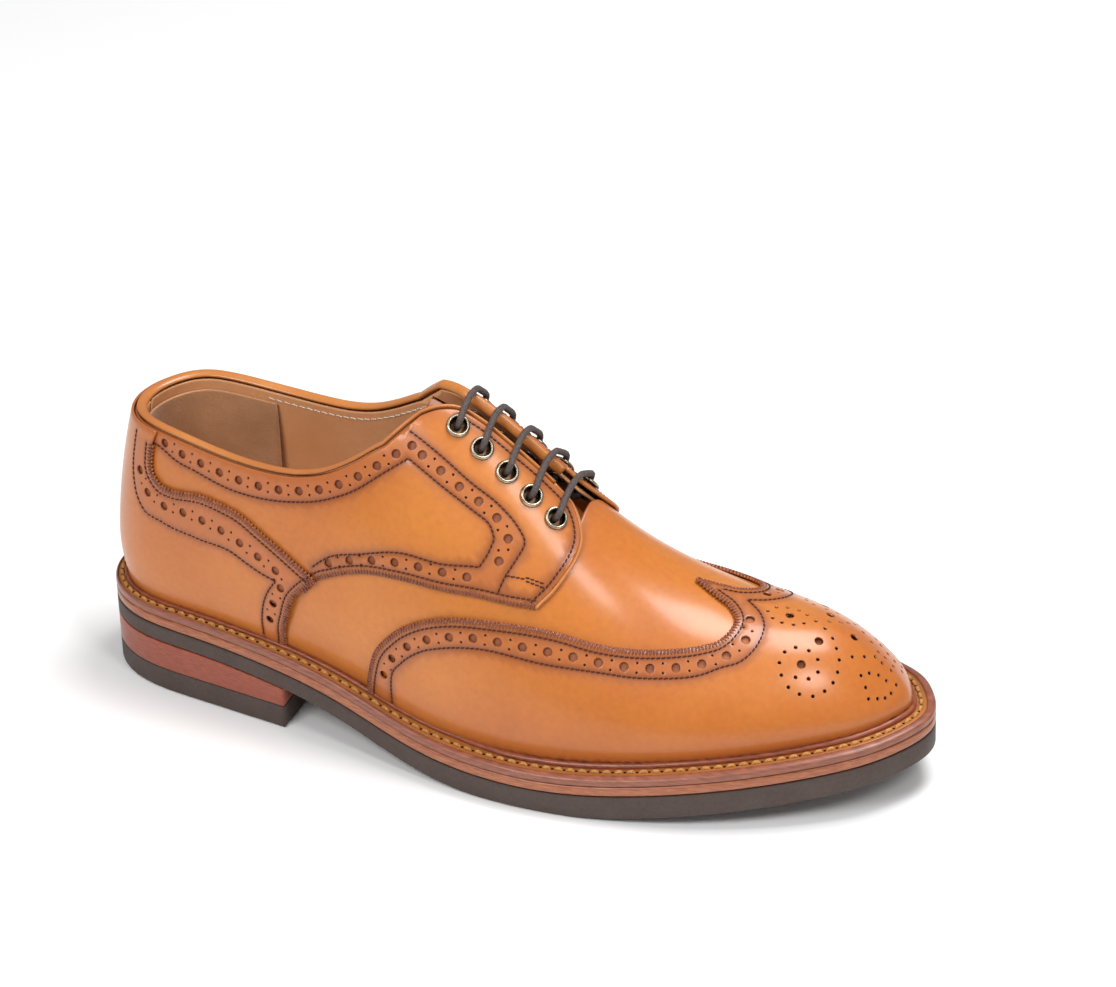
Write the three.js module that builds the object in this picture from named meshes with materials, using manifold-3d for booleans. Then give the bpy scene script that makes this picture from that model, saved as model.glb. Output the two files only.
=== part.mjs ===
// A leather derby shoe with wing cap and brogue seams, storm welted on a rubber sole.
// Millimetres, +Z up, +X towards the toe, -Y the outer (lateral) side of a right shoe.
import * as THREE from 'three';
import { mergeVertices } from 'three/addons/utils/BufferGeometryUtils.js';
import Module from 'manifold-3d';

const wasm = await Module();
wasm.setup();
const { Manifold, Mesh, CrossSection } = wasm;

// ---------- driving dimensions ----------
const SOLE_LENGTH = 308;
const HEEL_LENGTH = 80;            // heel rear to heel breast
const GAP = 0.3;                   // clearance between touching pieces
const TOP_PIECE_THICK = 8.7;       // rubber top piece, the part of the heel on the floor
const OUTSOLE_HEEL = 6.3;          // outsole thickness over the heel
const OUTSOLE_FORE = 8.2;          // outsole thickness at the ball
const MIDSOLE_THICK = 3.9;
const WELT_THICK = 3.2;
const INSOLE_THICK = 2.8;
const CREST_HEEL = 60;             // rear end of the crest line of the last
const CREST_TOE = 260;             // front end of the crest line
const INSWING = 5;                 // how far the toe swings to the inner side
const LACE_RADIUS = 1.2;
const EYELET_BORE = 2.4;
const EYELET_HOLE = 3.2;           // punched hole that an eyelet barrel passes
const LINING_HOLE = 3.8;           // the same hole in the lining and the stay
const NAIL_RADIUS = 1.0;
const STATIONS = 48;               // divisions around the last
const STEPS = 12;                  // divisions from the crest down to the feather edge
const PLATE_STEPS = 3;             // divisions across each half of a sole plate

// leather layers, measured outwards from the surface of the closed vamp
const LAYER = {
  lining: [-2.7, -1.65],
  vamp: [-1.2, -0.2],
  stiff: [-1.2, -0.35],            // toe puff, heel stiffener, facing stays
  outer: [0.3, 1.5],               // quarters and wing cap
  cover: [2.0, 3.0],               // counter cover over the quarters
  grip: [-4.1, -3.15],
  tongue: [-8.6, -7.4],
  tongueLining: [-9.9, -8.9],
};

// ---------- curves of the last ----------
function spline(points) {
  const n = points.length;
  const x = points.map((p) => p[0]);
  const y = points.map((p) => p[1]);
  const h = x.slice(1).map((v, i) => v - x[i]);
  const slope = h.map((v, i) => (y[i + 1] - y[i]) / v);
  const upper = new Array(n).fill(0);
  const m = new Array(n).fill(0);
  for (let i = 1; i < n - 1; i++) {
    const p = 2 * (h[i - 1] + h[i]) - h[i - 1] * upper[i - 1];
    upper[i] = h[i] / p;
    m[i] = (6 * (slope[i] - slope[i - 1]) - h[i - 1] * m[i - 1]) / p;
  }
  m[n - 1] = 0;
  for (let i = n - 2; i >= 0; i--) m[i] = i ? m[i] - upper[i] * m[i + 1] : 0;
  return (v) => {
    if (v <= x[0]) return y[0] + (v - x[0]) * (slope[0] - (h[0] * m[1]) / 6);
    if (v >= x[n - 1]) return y[n - 1] + (v - x[n - 1]) * (slope[n - 2] + (h[n - 2] * m[n - 2]) / 6);
    let i = 0;
    while (v > x[i + 1]) i++;
    const a = x[i + 1] - v;
    const b = v - x[i];
    return (m[i] * a ** 3 + m[i + 1] * b ** 3) / (6 * h[i])
      + (y[i] / h[i] - (m[i] * h[i]) / 6) * a + (y[i + 1] / h[i] - (m[i + 1] * h[i]) / 6) * b;
  };
}

// half widths of the sole edge at stations along the shoe
const OUTER_HALF = [[14, 24], [35, 31], [65, 36], [100, 42.5], [140, 52.5], [175, 58], [205, 57],
  [235, 52], [262, 43], [285, 31], [299, 19]];
const INNER_HALF = [[14, 26], [35, 33], [65, 33.5], [100, 31.5], [135, 32], [170, 38], [200, 45.5],
  [225, 48.5], [250, 45.5], [275, 37], [292, 27.5], [301, 18]];
const HEEL_FULLNESS = 64;
const TOE_FULLNESS = 50;

const roundness = (x) => 2 * Math.sqrt(Math.max((x / SOLE_LENGTH) * (1 - x / SOLE_LENGTH), 0));
const widthCurve = (half) => spline([[0, HEEL_FULLNESS],
  ...half.map(([x, w]) => [x, w / roundness(x)]), [SOLE_LENGTH, TOE_FULLNESS]]);
const outerWidth = widthCurve(OUTER_HALF);
const innerWidth = widthCurve(INNER_HALF);
const middle = (x) => INSWING * (x / SOLE_LENGTH) ** 2;
const middleOfShoe = SOLE_LENGTH / 2;

const weltTop = spline([[0, 34], [40, 33.9], [75, 31.2], [105, 25.8], [135, 18.4], [165, 15.9],
  [195, 16.4], [230, 20.4], [270, 25.6], [308, 30.4]]);
const weltMargin = spline([[0, 5.5], [60, 6], [120, 7.5], [180, 10], [240, 10.8], [308, 10.5]]);
const crestHeight = spline([[0, 164], [60, 157], [105, 139], [130, 131], [150, 120.5], [175, 100.5],
  [200, 79.5], [225, 66], [250, 60], [270, 56.5], [290, 49], [308, 41]]);
const topPower = spline([[0, 1.85], [60, 1.95], [110, 2], [150, 1.75], [180, 1.8], [210, 2],
  [250, 2.08], [308, 2.15]]);
const wallPower = spline([[0, 1.75], [60, 2], [110, 2.1], [150, 1.9], [180, 1.9], [210, 2.05],
  [250, 2.18], [308, 2.15]]);
const wallBulge = spline([[0, 0], [60, 2.5], [120, 2.5], [180, 2.5], [230, 3], [270, 2.5], [308, 0.8]]);
const toplineHeight = spline([[5, 104], [28, 105.6], [50, 103.4], [76, 101.6], [96, 104.8],
  [116, 116], [132, 126]]);

// sole edge at an angle round the shoe: 0 heel back, then the outer side, PI toe, then the inner side
function soleEdge(angle, inset = 0) {
  const at = (a) => {
    const x = (SOLE_LENGTH / 2) * (1 - Math.cos(a));
    const width = Math.sin(a) >= 0 ? outerWidth(x) : innerWidth(x);
    return new THREE.Vector2(x, -Math.sin(a) * width + middle(x));
  };
  const p = at(angle);
  if (!inset) return p;
  const small = 1e-4;
  const along = at(angle + small).sub(at(angle - small)).normalize();
  return p.add(new THREE.Vector2(-along.y, along.x).multiplyScalar(inset));
}

function featherEdge(angle) {
  const p = soleEdge(angle, weltMargin(soleEdge(angle).x));
  return new THREE.Vector3(p.x, p.y, weltTop(p.x) + GAP);
}

function crestPoint(angle) {
  const x = soleEdge(angle).x;
  const heelZone = 90;
  const toeZone = 205;
  let along = x;
  if (x > toeZone) along -= (SOLE_LENGTH - 9.5 - CREST_TOE) * ((x - toeZone) / (SOLE_LENGTH - toeZone)) ** 2;
  if (x < heelZone) along += (CREST_HEEL - 6) * ((heelZone - x) / heelZone) ** 2;
  return new THREE.Vector2(along, middle(along));
}

// point of the last: depth 0 on the crest, 1 at the feather edge
function lastPoint(angle, depth) {
  const foot = featherEdge(angle);
  const top = crestPoint(angle);
  const reach = Math.sin((Math.PI / 2) * Math.min(Math.max(depth, 0), 1));
  const rise = Math.max(1 - reach ** topPower(foot.x), 0) ** (1 / wallPower(foot.x));
  const out = new THREE.Vector2(foot.x - top.x, foot.y - top.y);
  const swell = (wallBulge(foot.x) / out.length()) * rise * (1 - rise) ** 3 * (256 / 27);
  const p = top.add(out.multiplyScalar(reach + swell));
  return new THREE.Vector3(p.x, p.y, foot.z + (crestHeight(p.x) - foot.z) * rise);
}

function lastNormal(angle, depth) {
  const small = 1e-3;
  const d = Math.min(Math.max(depth, small), 1 - small);
  const around = lastPoint(angle + small, d).sub(lastPoint(angle - small, d));
  const down = lastPoint(angle, d + small).sub(lastPoint(angle, d - small));
  return around.cross(down).negate().normalize();
}

// flat pattern of the last seen from above, where panels are cut out
function patternPoint(angle, depth) {
  const foot = featherEdge(angle);
  const top = crestPoint(angle);
  return new THREE.Vector2(top.x + depth * (foot.x - top.x), top.y + depth * (foot.y - top.y));
}

// height across the pattern of the line that parts the outer side from the inner side
function partingLine(x) {
  const [end, angle] = x < middleOfShoe ? [crestPoint(0), 0] : [crestPoint(Math.PI), Math.PI];
  const foot = featherEdge(angle);
  const share = (x - end.x) / (foot.x - end.x);
  return share > 0 ? end.y + share * (foot.y - end.y) : middle(x);
}

function patternInverse(p) {
  const outerSide = p.y <= partingLine(p.x);
  let low = outerSide ? 0 : Math.PI;
  let high = low + Math.PI;
  for (let i = 0; i < 44; i++) {
    const angle = (low + high) / 2;
    const foot = featherEdge(angle);
    const top = crestPoint(angle);
    const turned = (foot.x - top.x) * (p.y - top.y) - (foot.y - top.y) * (p.x - top.x);
    if (turned > 0) low = angle; else high = angle;
  }
  const foot = featherEdge(low);
  const top = crestPoint(low);
  const reach = Math.hypot(foot.x - top.x, foot.y - top.y);
  return [low, Math.min(Math.hypot(p.x - top.x, p.y - top.y) / reach, 1)];
}

function heightToDepth(angle, height) {
  let low = 0;
  let high = 1;
  for (let i = 0; i < 40; i++) {
    const mid = (low + high) / 2;
    const p = lastPoint(angle, mid);
    if (p.z > height(p.x)) low = mid; else high = mid;
  }
  return low;
}

const DEGREE = Math.PI / 180;
const turn = (side, degrees) => (side > 0 ? degrees : 360 - degrees) * DEGREE;
const OUTER_SIDE = 1;
const INNER_SIDE = -1;
const BEYOND = 1.02;               // pattern depth just past the feather edge
const EDGE_SPACING = 5;            // spacing of the points along a cut edge
const SMOOTHING = 0.06;            // how far a panel may stray from its grid when it is thinned out

// ---------- solids from grids and cuts ----------
function fromSolid(solid) {
  const mesh = solid.getMesh();
  const geometry = new THREE.BufferGeometry();
  const points = [];
  for (let i = 0; i < mesh.vertProperties.length; i += mesh.numProp) {
    points.push(mesh.vertProperties[i], mesh.vertProperties[i + 1], mesh.vertProperties[i + 2]);
  }
  geometry.setAttribute('position', new THREE.Float32BufferAttribute(points, 3));
  geometry.setIndex([...mesh.triVerts]);
  geometry.computeVertexNormals();
  return geometry;
}

function toSolid(geometry) {
  const bare = geometry.clone();
  bare.deleteAttribute('normal');
  bare.deleteAttribute('uv');
  const welded = mergeVertices(bare, 1e-4);
  return new Manifold(new Mesh({
    numProp: 3,
    vertProperties: new Float32Array(welded.attributes.position.array),
    triVerts: new Uint32Array(welded.index.array),
  }));
}

// closed slab over a disc whose centre line is the crest: place(angle, depth, level) gives each point
function discSolid(steps, place) {
  const points = [];
  const index = new Map();
  const corner = (i, j, level) => {
    const around = (i + STATIONS) % STATIONS;
    const station = j === 0 ? Math.min(around, STATIONS - around) : around;
    const key = `${station},${j},${level}`;
    if (!index.has(key)) {
      index.set(key, points.length / 3);
      points.push(...place((station / STATIONS) * 2 * Math.PI, j / steps, level));
    }
    return index.get(key);
  };
  const triangles = [];
  const triangle = (a, b, c) => { if (a !== b && b !== c && a !== c) triangles.push(a, b, c); };
  for (let i = 0; i < STATIONS; i++) {
    for (let j = 0; j < steps; j++) {
      for (const level of [0, 1]) {
        const [a, b, c, d] = [corner(i, j, level), corner(i, j + 1, level),
          corner(i + 1, j + 1, level), corner(i + 1, j, level)];
        if (level) { triangle(a, b, c); triangle(a, c, d); } else { triangle(a, c, b); triangle(a, d, c); }
      }
    }
    const [a, b, c, d] = [corner(i, steps, 0), corner(i + 1, steps, 0),
      corner(i + 1, steps, 1), corner(i, steps, 1)];
    triangle(a, b, c);
    triangle(a, c, d);
  }
  return new Manifold(new Mesh({
    numProp: 3, vertProperties: new Float32Array(points), triVerts: new Uint32Array(triangles),
  }));
}

// the biggest body of a solid, without the crumbs that a cut can leave
function largest(solid) {
  return solid.decompose().reduce((best, body) => (body.volume() > best.volume() ? body : best));
}

// the pattern as a thick slab as high as the last, so that every cut edge keeps its points
const SLAB_HALF = 60;
const patternSlab = discSolid(STEPS, (angle, depth, level) => {
  const p = patternPoint(angle, depth);
  return [p.x, p.y, lastPoint(angle, depth).z + (level ? SLAB_HALF : -SLAB_HALF)];
});

// one leather panel: the slab cut to an outline, with holes, then wrapped on the last
function panel(outline, [inner, outer], holes = []) {
  let cut = new CrossSection([outline], 'NonZero');
  for (const hole of holes) cut = cut.subtract(new CrossSection([hole], 'NonZero'));
  const deep = 4 * SLAB_HALF;
  const geometry = fromSolid(patternSlab.intersect(cut.extrude(2 * deep).translate([0, 0, -deep])));
  const position = geometry.attributes.position;
  for (let i = 0; i < position.count; i++) {
    const [angle, depth] = patternInverse(new THREE.Vector2(position.getX(i), position.getY(i)));
    const p = lastPoint(angle, depth);
    const offset = position.getZ(i) > p.z ? outer : inner;
    p.addScaledVector(lastNormal(angle, depth), offset);
    position.setXYZ(i, p.x, p.y, Math.max(p.z, weltTop(p.x) + GAP));
  }
  return fromSolid(largest(toSolid(geometry).simplify(SMOOTHING)));
}

// a smooth edge through [degrees, depth] points on one side of the shoe
function edge(side, points) {
  const knots = points.map(([degrees, depth]) => {
    const p = patternPoint(turn(side, degrees), depth);
    return new THREE.Vector3(p.x, p.y, 0);
  });
  const curve = new THREE.CatmullRomCurve3(knots, false, 'centripetal');
  const count = Math.max(knots.length, Math.ceil(curve.getLength() / EDGE_SPACING));
  return curve.getPoints(count).map((p) => [p.x, p.y]);
}

// edge that follows the top line of the shoe, lowered by some millimetres
function topEdge(side, from, to, lower) {
  const step = Math.sign(to - from) * 4;
  const count = Math.round((to - from) / step);
  const points = [];
  for (let i = 0; i <= count; i++) {
    const degrees = from + ((to - from) * i) / count;
    const depth = heightToDepth(turn(side, degrees), (x) => toplineHeight(x) - lower);
    points.push([degrees, depth]);
  }
  return edge(side, points);
}

const feather = (side, from, to) => {
  const count = Math.ceil(Math.abs(to - from) / 3);
  return Array.from({ length: count + 1 }, (_, i) => {
    const p = patternPoint(turn(side, from + ((to - from) * i) / count), BEYOND);
    return [p.x, p.y];
  });
};

// joins edges into one counter clockwise polygon, dropping points that repeat
function joined(...edges) {
  const points = edges.flat();
  const clean = points.filter((p, i) => {
    const q = points[(i + points.length - 1) % points.length];
    return Math.hypot(p[0] - q[0], p[1] - q[1]) > 0.05;
  });
  const area = THREE.ShapeUtils.area(clean.map(([x, y]) => new THREE.Vector2(x, y)));
  return area < 0 ? clean.reverse() : clean;
}

const back = (list) => [...list].reverse();
// an edge given for one side, carried over the crest and mirrored on the other side
const acrossCrest = (points) => [...edge(OUTER_SIDE, points), ...back(edge(INNER_SIDE, points))];

// pattern outline of a round hole of true radius at a place on the last
function holeOutline(angle, depth, radius, sides = 10) {
  const centre = patternPoint(angle, depth);
  const small = 0.05;
  const at = (x, y) => lastPoint(...patternInverse(new THREE.Vector2(x, y)));
  const alongX = at(centre.x + small, centre.y).sub(at(centre.x - small, centre.y)).divideScalar(2 * small);
  const alongY = at(centre.x, centre.y + small).sub(at(centre.x, centre.y - small)).divideScalar(2 * small);
  const first = alongX.clone().normalize();
  const second = alongY.clone().addScaledVector(first, -alongY.dot(first)).normalize();
  return Array.from({ length: sides }, (_, i) => {
    const t = (i / sides) * 2 * Math.PI;
    const v = (radius * Math.sin(t)) / alongY.dot(second);
    const u = (radius * Math.cos(t) - v * alongY.dot(first)) / alongX.length();
    return [centre.x + u, centre.y + v];
  });
}

// ---------- outlines of the upper ----------
const BINDING_HEIGHT = 2.2;        // the top line binding rises this far above the cut edges
const MID_BACK = 0.8;              // degrees from the back seam to the cut edge

const FACING_EDGE = { [OUTER_SIDE]: 0.095, [INNER_SIDE]: 0.075 };
const facingFront = (side) => {
  const d = FACING_EDGE[side];
  return [[80, 0.22], [82.3, 0.15], [84.5, d + 0.012], [87, d], [92, d], [97, d], [99.6, d + 0.015],
    [101.2, 0.16], [102, 0.22], [102, 0.29], [101.4, 0.36], [100.3, 0.44], [98.5, 0.52]];
};
const quarterLower = [[98.5, 0.52], [95, 0.55], [91, 0.58], [85.5, 0.63], [79.5, 0.68], [74, 0.73],
  [69.5, 0.78], [67, 0.81], [65, 0.85]];
const quarterHidden = [[65, 0.85], [60, 0.845], [54, 0.81], [47, 0.8], [38, 0.8], [20, 0.8], [MID_BACK, 0.8]];
const counterFront = [[60.5, BEYOND], [61, 0.96], [62, 0.92], [63, 0.88], [65, 0.84], [67, 0.81]];
const counterTop = [[67, 0.81], [65, 0.8], [61.5, 0.78], [58, 0.76], [54.5, 0.74], [50.5, 0.73],
  [46.5, 0.725], [39, 0.73], [35, 0.72], [32, 0.69], [31.5, 0.64]];
const wingEdge = [[74.5, BEYOND], [75, 0.96], [76, 0.9], [78.5, 0.83], [81.4, 0.77], [86, 0.7],
  [94, 0.62], [102.5, 0.56], [107.7, 0.54], [113.4, 0.5], [119, 0.44], [122, 0.4], [125, 0.34],
  [126.6, 0.24], [126.6, 0.17], [124.3, 0.09], [121, 0.05], [116.6, 0]];
const vampRear = [[57.5, BEYOND], [57.5, 0.9], [58, 0.83], [61, 0.76], [66, 0.7], [72, 0.65],
  [78, 0.6], [84, 0.55], [90, 0.49], [95, 0.42], [98.5, 0.36], [100.6, 0.3], [101.3, 0.22],
  [101.3, 0.12], [101.3, 0]];
const vampFront = [[83, BEYOND], [84, 0.92], [88, 0.84], [96, 0.75], [104, 0.69], [112, 0.65],
  [119, 0.6], [126, 0.54], [131, 0.46], [134, 0.32], [135, 0.15], [135, 0]];
const puffRear = [[112, BEYOND], [116, 0.85], [123, 0.72], [131, 0.6], [138, 0.45], [140, 0.3],
  [140.5, 0.15], [140.5, 0]];
const stiffenerTop = [[56, BEYOND], [55.5, 0.85], [48, 0.8], [38, 0.78], [25, 0.74], [10, 0.72], [0, 0.72]];
const liningSeamRear = [[94, BEYOND], [95, 0.85], [97, 0.7], [100.3, 0.45], [101.2, 0.25], [100.6, 0.15]];
const liningSeamFront = [[94.9, BEYOND], [95.9, 0.85], [97.9, 0.7], [101.4, 0.45], [102.4, 0.25],
  [102.6, 0.12], [102.8, 0]];
const EYELETS = {
  [OUTER_SIDE]: [[84.8, 0.17], [88.2, 0.185], [91.7, 0.195], [95.1, 0.205], [98.5, 0.21]],
  [INNER_SIDE]: [[84.8, 0.24], [88.2, 0.255], [91.7, 0.26], [95.1, 0.26], [98.5, 0.24]],
};
const eyeletHoles = (side, radius) => EYELETS[side].map(([degrees, depth]) => (
  holeOutline(turn(side, degrees), depth, radius)));

// ---------- the parts ----------
const leather = (colour, roughness = 0.35) => (
  new THREE.MeshStandardMaterial({ color: colour, roughness, metalness: 0 }));
const TAN = 0xd08040;
const LINING = 0xa67b55;
const EDGE_BROWN = 0xb5654a;
const RUBBER = 0x5c4b42;
const BRASS = 0xa89a78;
const LACE = 0x5f5350;

const shoe = new THREE.Group();
function add(name, geometry, material) {
  const mesh = new THREE.Mesh(geometry, material);
  mesh.name = name;
  shoe.add(mesh);
  return mesh;
}

// sole plates: discs that follow the curve of the welt
const plate = (inset, low, high) => discSolid(PLATE_STEPS, (angle, depth, level) => {
  const rim = soleEdge(angle, typeof inset === 'function' ? inset(soleEdge(angle).x) : inset);
  const top = crestPoint(angle);
  const x = top.x + depth * (rim.x - top.x);
  return [x, top.y + depth * (rim.y - top.y), level ? high(x) : low(x)];
});

const outsoleThick = spline([[0, OUTSOLE_HEEL], [80, OUTSOLE_HEEL], [150, OUTSOLE_FORE],
  [308, OUTSOLE_FORE]]);
const midsoleTop = (x) => weltTop(x) - WELT_THICK - GAP;
const outsoleTop = (x) => midsoleTop(x) - MIDSOLE_THICK - GAP;
const outsoleBottom = (x) => Math.max(outsoleTop(x) - outsoleThick(x), 0);
const weltBottom = (x) => weltTop(x) - WELT_THICK;
const raise = (curve, by) => (x) => curve(x) + by;
const within = (by) => (x) => weltMargin(x) + by;

function heelSlice(solid) {
  const box = Manifold.cube([HEEL_LENGTH + 20, 200, 60]).translate([-20, -100, -5]);
  return solid.intersect(box);
}

function buildSole() {
  const rubber = leather(RUBBER, 0.75);
  const edgeLeather = leather(EDGE_BROWN, 0.5);
  add('rubber_outsole', fromSolid(plate(0, outsoleBottom, outsoleTop)), rubber);
  add('leather_midsole', fromSolid(plate(0, raise(midsoleTop, -MIDSOLE_THICK), midsoleTop)), edgeLeather);
  const weltHole = plate(within(2.5), raise(weltBottom, -2), raise(weltTop, 2));
  add('storm_welt', fromSolid(plate(0, weltBottom, weltTop).subtract(weltHole)), leather(0xd08a3c, 0.5));

  const shankSpace = Manifold.cube([104, 13, 60]).translate([53, -6, -5]);
  const cork = plate(within(2.9), weltBottom, raise(weltTop, -GAP)).subtract(shankSpace);
  add('cork_filler', fromSolid(cork), leather(0xc9a27a, 0.9));
  const shank = plate(within(2.9), raise(weltTop, -2.4), raise(weltTop, -1.2));
  const shankCut = Manifold.cube([102, 12, 60]).translate([54, -5.5, -5]);
  add('steel_shank', fromSolid(shank.intersect(shankCut)),
    new THREE.MeshStandardMaterial({ color: 0x9a9da0, roughness: 0.4, metalness: 1 }));
  add('insole', fromSolid(plate(within(3.4), weltTop, raise(weltTop, INSOLE_THICK))), leather(0xb98a5c, 0.7));
  const sock = plate(within(6.5), raise(weltTop, INSOLE_THICK + GAP), raise(weltTop, INSOLE_THICK + 1.3));
  const sockCut = Manifold.cube([95, 200, 60]).translate([-5, -100, 0]);
  add('heel_sock', fromSolid(sock.intersect(sockCut)), leather(LINING, 0.6));
}

function buildHeel() {
  const nails = [[22, -14], [22, 14], [44, -20], [44, 20], [66, -22], [66, 22]];
  const hole = Manifold.cylinder(40, NAIL_RADIUS + GAP, NAIL_RADIUS + GAP, 10);
  let lift = heelSlice(plate(0, () => TOP_PIECE_THICK + GAP, raise(outsoleBottom, -GAP)));
  for (const [x, y] of nails) lift = lift.subtract(hole.translate([x, y, 0]));
  add('heel_lift', fromSolid(lift), leather(EDGE_BROWN, 0.5));
  add('heel_top_piece', fromSolid(heelSlice(plate(0, () => 0, () => TOP_PIECE_THICK))), leather(RUBBER, 0.8));
  nails.forEach(([x, y], i) => {
    const length = 7;
    const nail = new THREE.CylinderGeometry(NAIL_RADIUS, NAIL_RADIUS * 0.7, length, 8);
    nail.rotateX(Math.PI / 2);
    const mesh = add(`heel_nail_${i + 1}`, nail,
      new THREE.MeshStandardMaterial({ color: BRASS, roughness: 0.35, metalness: 1 }));
    mesh.position.set(x, y, TOP_PIECE_THICK + GAP + 0.2 + length / 2);
  });
}

function buildUpper() {
  const calf = leather(TAN);
  const lining = leather(LINING, 0.6);
  const firm = leather(0xcdb08a, 0.85);
  add('vamp', panel(joined(acrossCrest(vampRear), back(acrossCrest(vampFront))), LAYER.vamp), calf);
  add('wing_cap', panel(joined(acrossCrest(wingEdge), feather(INNER_SIDE, 74.5, 180),
    feather(OUTER_SIDE, 180, 74.5)), LAYER.outer), calf);
  add('toe_puff', panel(joined(acrossCrest(puffRear), feather(INNER_SIDE, 112, 180),
    feather(OUTER_SIDE, 180, 112)), LAYER.stiff), firm);
  add('vamp_lining', panel(joined(acrossCrest(liningSeamFront), feather(INNER_SIDE, 94.9, 180),
    feather(OUTER_SIDE, 180, 94.9)), LAYER.lining), lining);

  for (const [side, word] of [[OUTER_SIDE, 'outer'], [INNER_SIDE, 'inner']]) {
    const top = topEdge(side, MID_BACK, 76, BINDING_HEIGHT);
    const front = edge(side, facingFront(side));
    add(`quarter_${word}`, panel(joined(top, front, edge(side, quarterLower), edge(side, quarterHidden)),
      LAYER.outer, eyeletHoles(side, EYELET_HOLE)), calf);
    const liningFront = edge(side, facingFront(side).slice(0, 7));
    add(`quarter_lining_${word}`, panel(joined(top, liningFront, back(edge(side, liningSeamRear)),
      feather(side, 94, MID_BACK)), LAYER.lining, eyeletHoles(side, LINING_HOLE)), lining);
    const d = FACING_EDGE[side] + 0.02;
    const stay = [[82, 0.3], [82.6, 0.2], [85, d], [90, d], [95, d], [96.6, d + 0.05], [96.6, 0.28],
      [94, 0.33], [88, 0.33], [82, 0.3]];
    add(`facing_stay_${word}`, panel(joined(edge(side, stay)), LAYER.stiff,
      eyeletHoles(side, LINING_HOLE).slice(0, 4)), firm);
  }

  const counter = (side) => [...feather(side, 0, 60.5), ...edge(side, counterFront),
    ...edge(side, counterTop), ...topEdge(side, 32.5, 0, BINDING_HEIGHT)];
  add('counter_cover', panel(joined(counter(OUTER_SIDE), back(counter(INNER_SIDE))), LAYER.cover), calf);
  const stiffener = (side) => [...feather(side, 0, 56), ...edge(side, stiffenerTop)];
  add('heel_stiffener', panel(joined(stiffener(OUTER_SIDE), back(stiffener(INNER_SIDE))), LAYER.stiff), firm);
  const grip = (side) => [...edge(side, [[0, 0.95], [15, 0.95], [30, 0.95], [50, 0.95]]),
    ...topEdge(side, 50, 0, 6)];
  add('heel_grip', panel(joined(grip(OUTER_SIDE), back(grip(INNER_SIDE))), LAYER.grip),
    leather(0x8f6a4c, 0.95));
}

// place on the upper: its point, outward normal and the lengthways direction of a path
function lastFrame(p, ahead) {
  const at = patternInverse(p);
  const point = lastPoint(...at);
  const normal = lastNormal(...at);
  const along = lastPoint(...patternInverse(ahead)).sub(point);
  along.addScaledVector(normal, -along.dot(normal)).normalize();
  return { point, normal, along };
}

// closed tube whose rings are given as lists of points
function tubeFromRings(rings) {
  const sides = rings[0].length;
  const points = rings.flat().flatMap((p) => [p.x, p.y, p.z]);
  const triangles = [];
  for (let i = 0; i + 1 < rings.length; i++) {
    for (let j = 0; j < sides; j++) {
      const [a, b] = [i * sides + j, i * sides + ((j + 1) % sides)];
      triangles.push(a, b, b + sides, a, b + sides, a + sides);
    }
  }
  const last = (rings.length - 1) * sides;
  for (let j = 1; j + 1 < sides; j++) triangles.push(0, j + 1, j, last, last + j, last + j + 1);
  const geometry = new THREE.BufferGeometry();
  geometry.setAttribute('position', new THREE.Float32BufferAttribute(points, 3));
  geometry.setIndex(triangles);
  geometry.computeVertexNormals();
  return geometry;
}

function turnedOutwards(geometry) {
  const position = geometry.attributes.position;
  const index = geometry.index.array;
  const [a, b, c] = [new THREE.Vector3(), new THREE.Vector3(), new THREE.Vector3()];
  let volume = 0;
  for (let i = 0; i < index.length; i += 3) {
    a.fromBufferAttribute(position, index[i]);
    b.fromBufferAttribute(position, index[i + 1]);
    c.fromBufferAttribute(position, index[i + 2]);
    volume += a.dot(b.cross(c));
  }
  if (volume < 0) {
    for (let i = 0; i < index.length; i += 3) [index[i], index[i + 1]] = [index[i + 1], index[i]];
    geometry.computeVertexNormals();
  }
  return geometry;
}

// rolled binding round the top line and down both facing edges
function buildBinding() {
  const facing = (side) => edge(side, facingFront(side).slice(0, 6));
  const half = (side) => [...topEdge(side, MID_BACK, 76, BINDING_HEIGHT), ...facing(side)];
  const path = [...back(half(OUTER_SIDE)), ...half(INNER_SIDE)]
    .map(([x, y]) => new THREE.Vector2(x, y))
    .filter((p, i, all) => i === 0 || p.distanceTo(all[i - 1]) > 0.8);
  const reach = (LAYER.outer[1] - LAYER.lining[0]) / 2;
  const centre = (LAYER.outer[1] + LAYER.lining[0]) / 2;
  const clear = 1.6 * GAP;
  const rise = (BINDING_HEIGHT - clear) / 2;
  const sides = 8;
  const rings = path.map((p, i) => {
    const ahead = path[Math.min(i + 1, path.length - 1)];
    const behind = path[Math.max(i - 1, 0)];
    const step = ahead.clone().sub(behind).multiplyScalar(0.2);
    const { point, normal, along } = lastFrame(p, p.clone().add(step));
    const outwards = new THREE.Vector3().crossVectors(along, normal);
    return Array.from({ length: sides }, (_, j) => {
      const t = ((j + 0.5) / sides) * 2 * Math.PI;
      return point.clone().addScaledVector(normal, centre + reach * Math.cos(t))
        .addScaledVector(outwards, clear + rise * (1 + Math.sin(t)));
    });
  });
  add('topline_binding', turnedOutwards(tubeFromRings(rings)), leather(0xd99a5c, 0.4));
}

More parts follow.
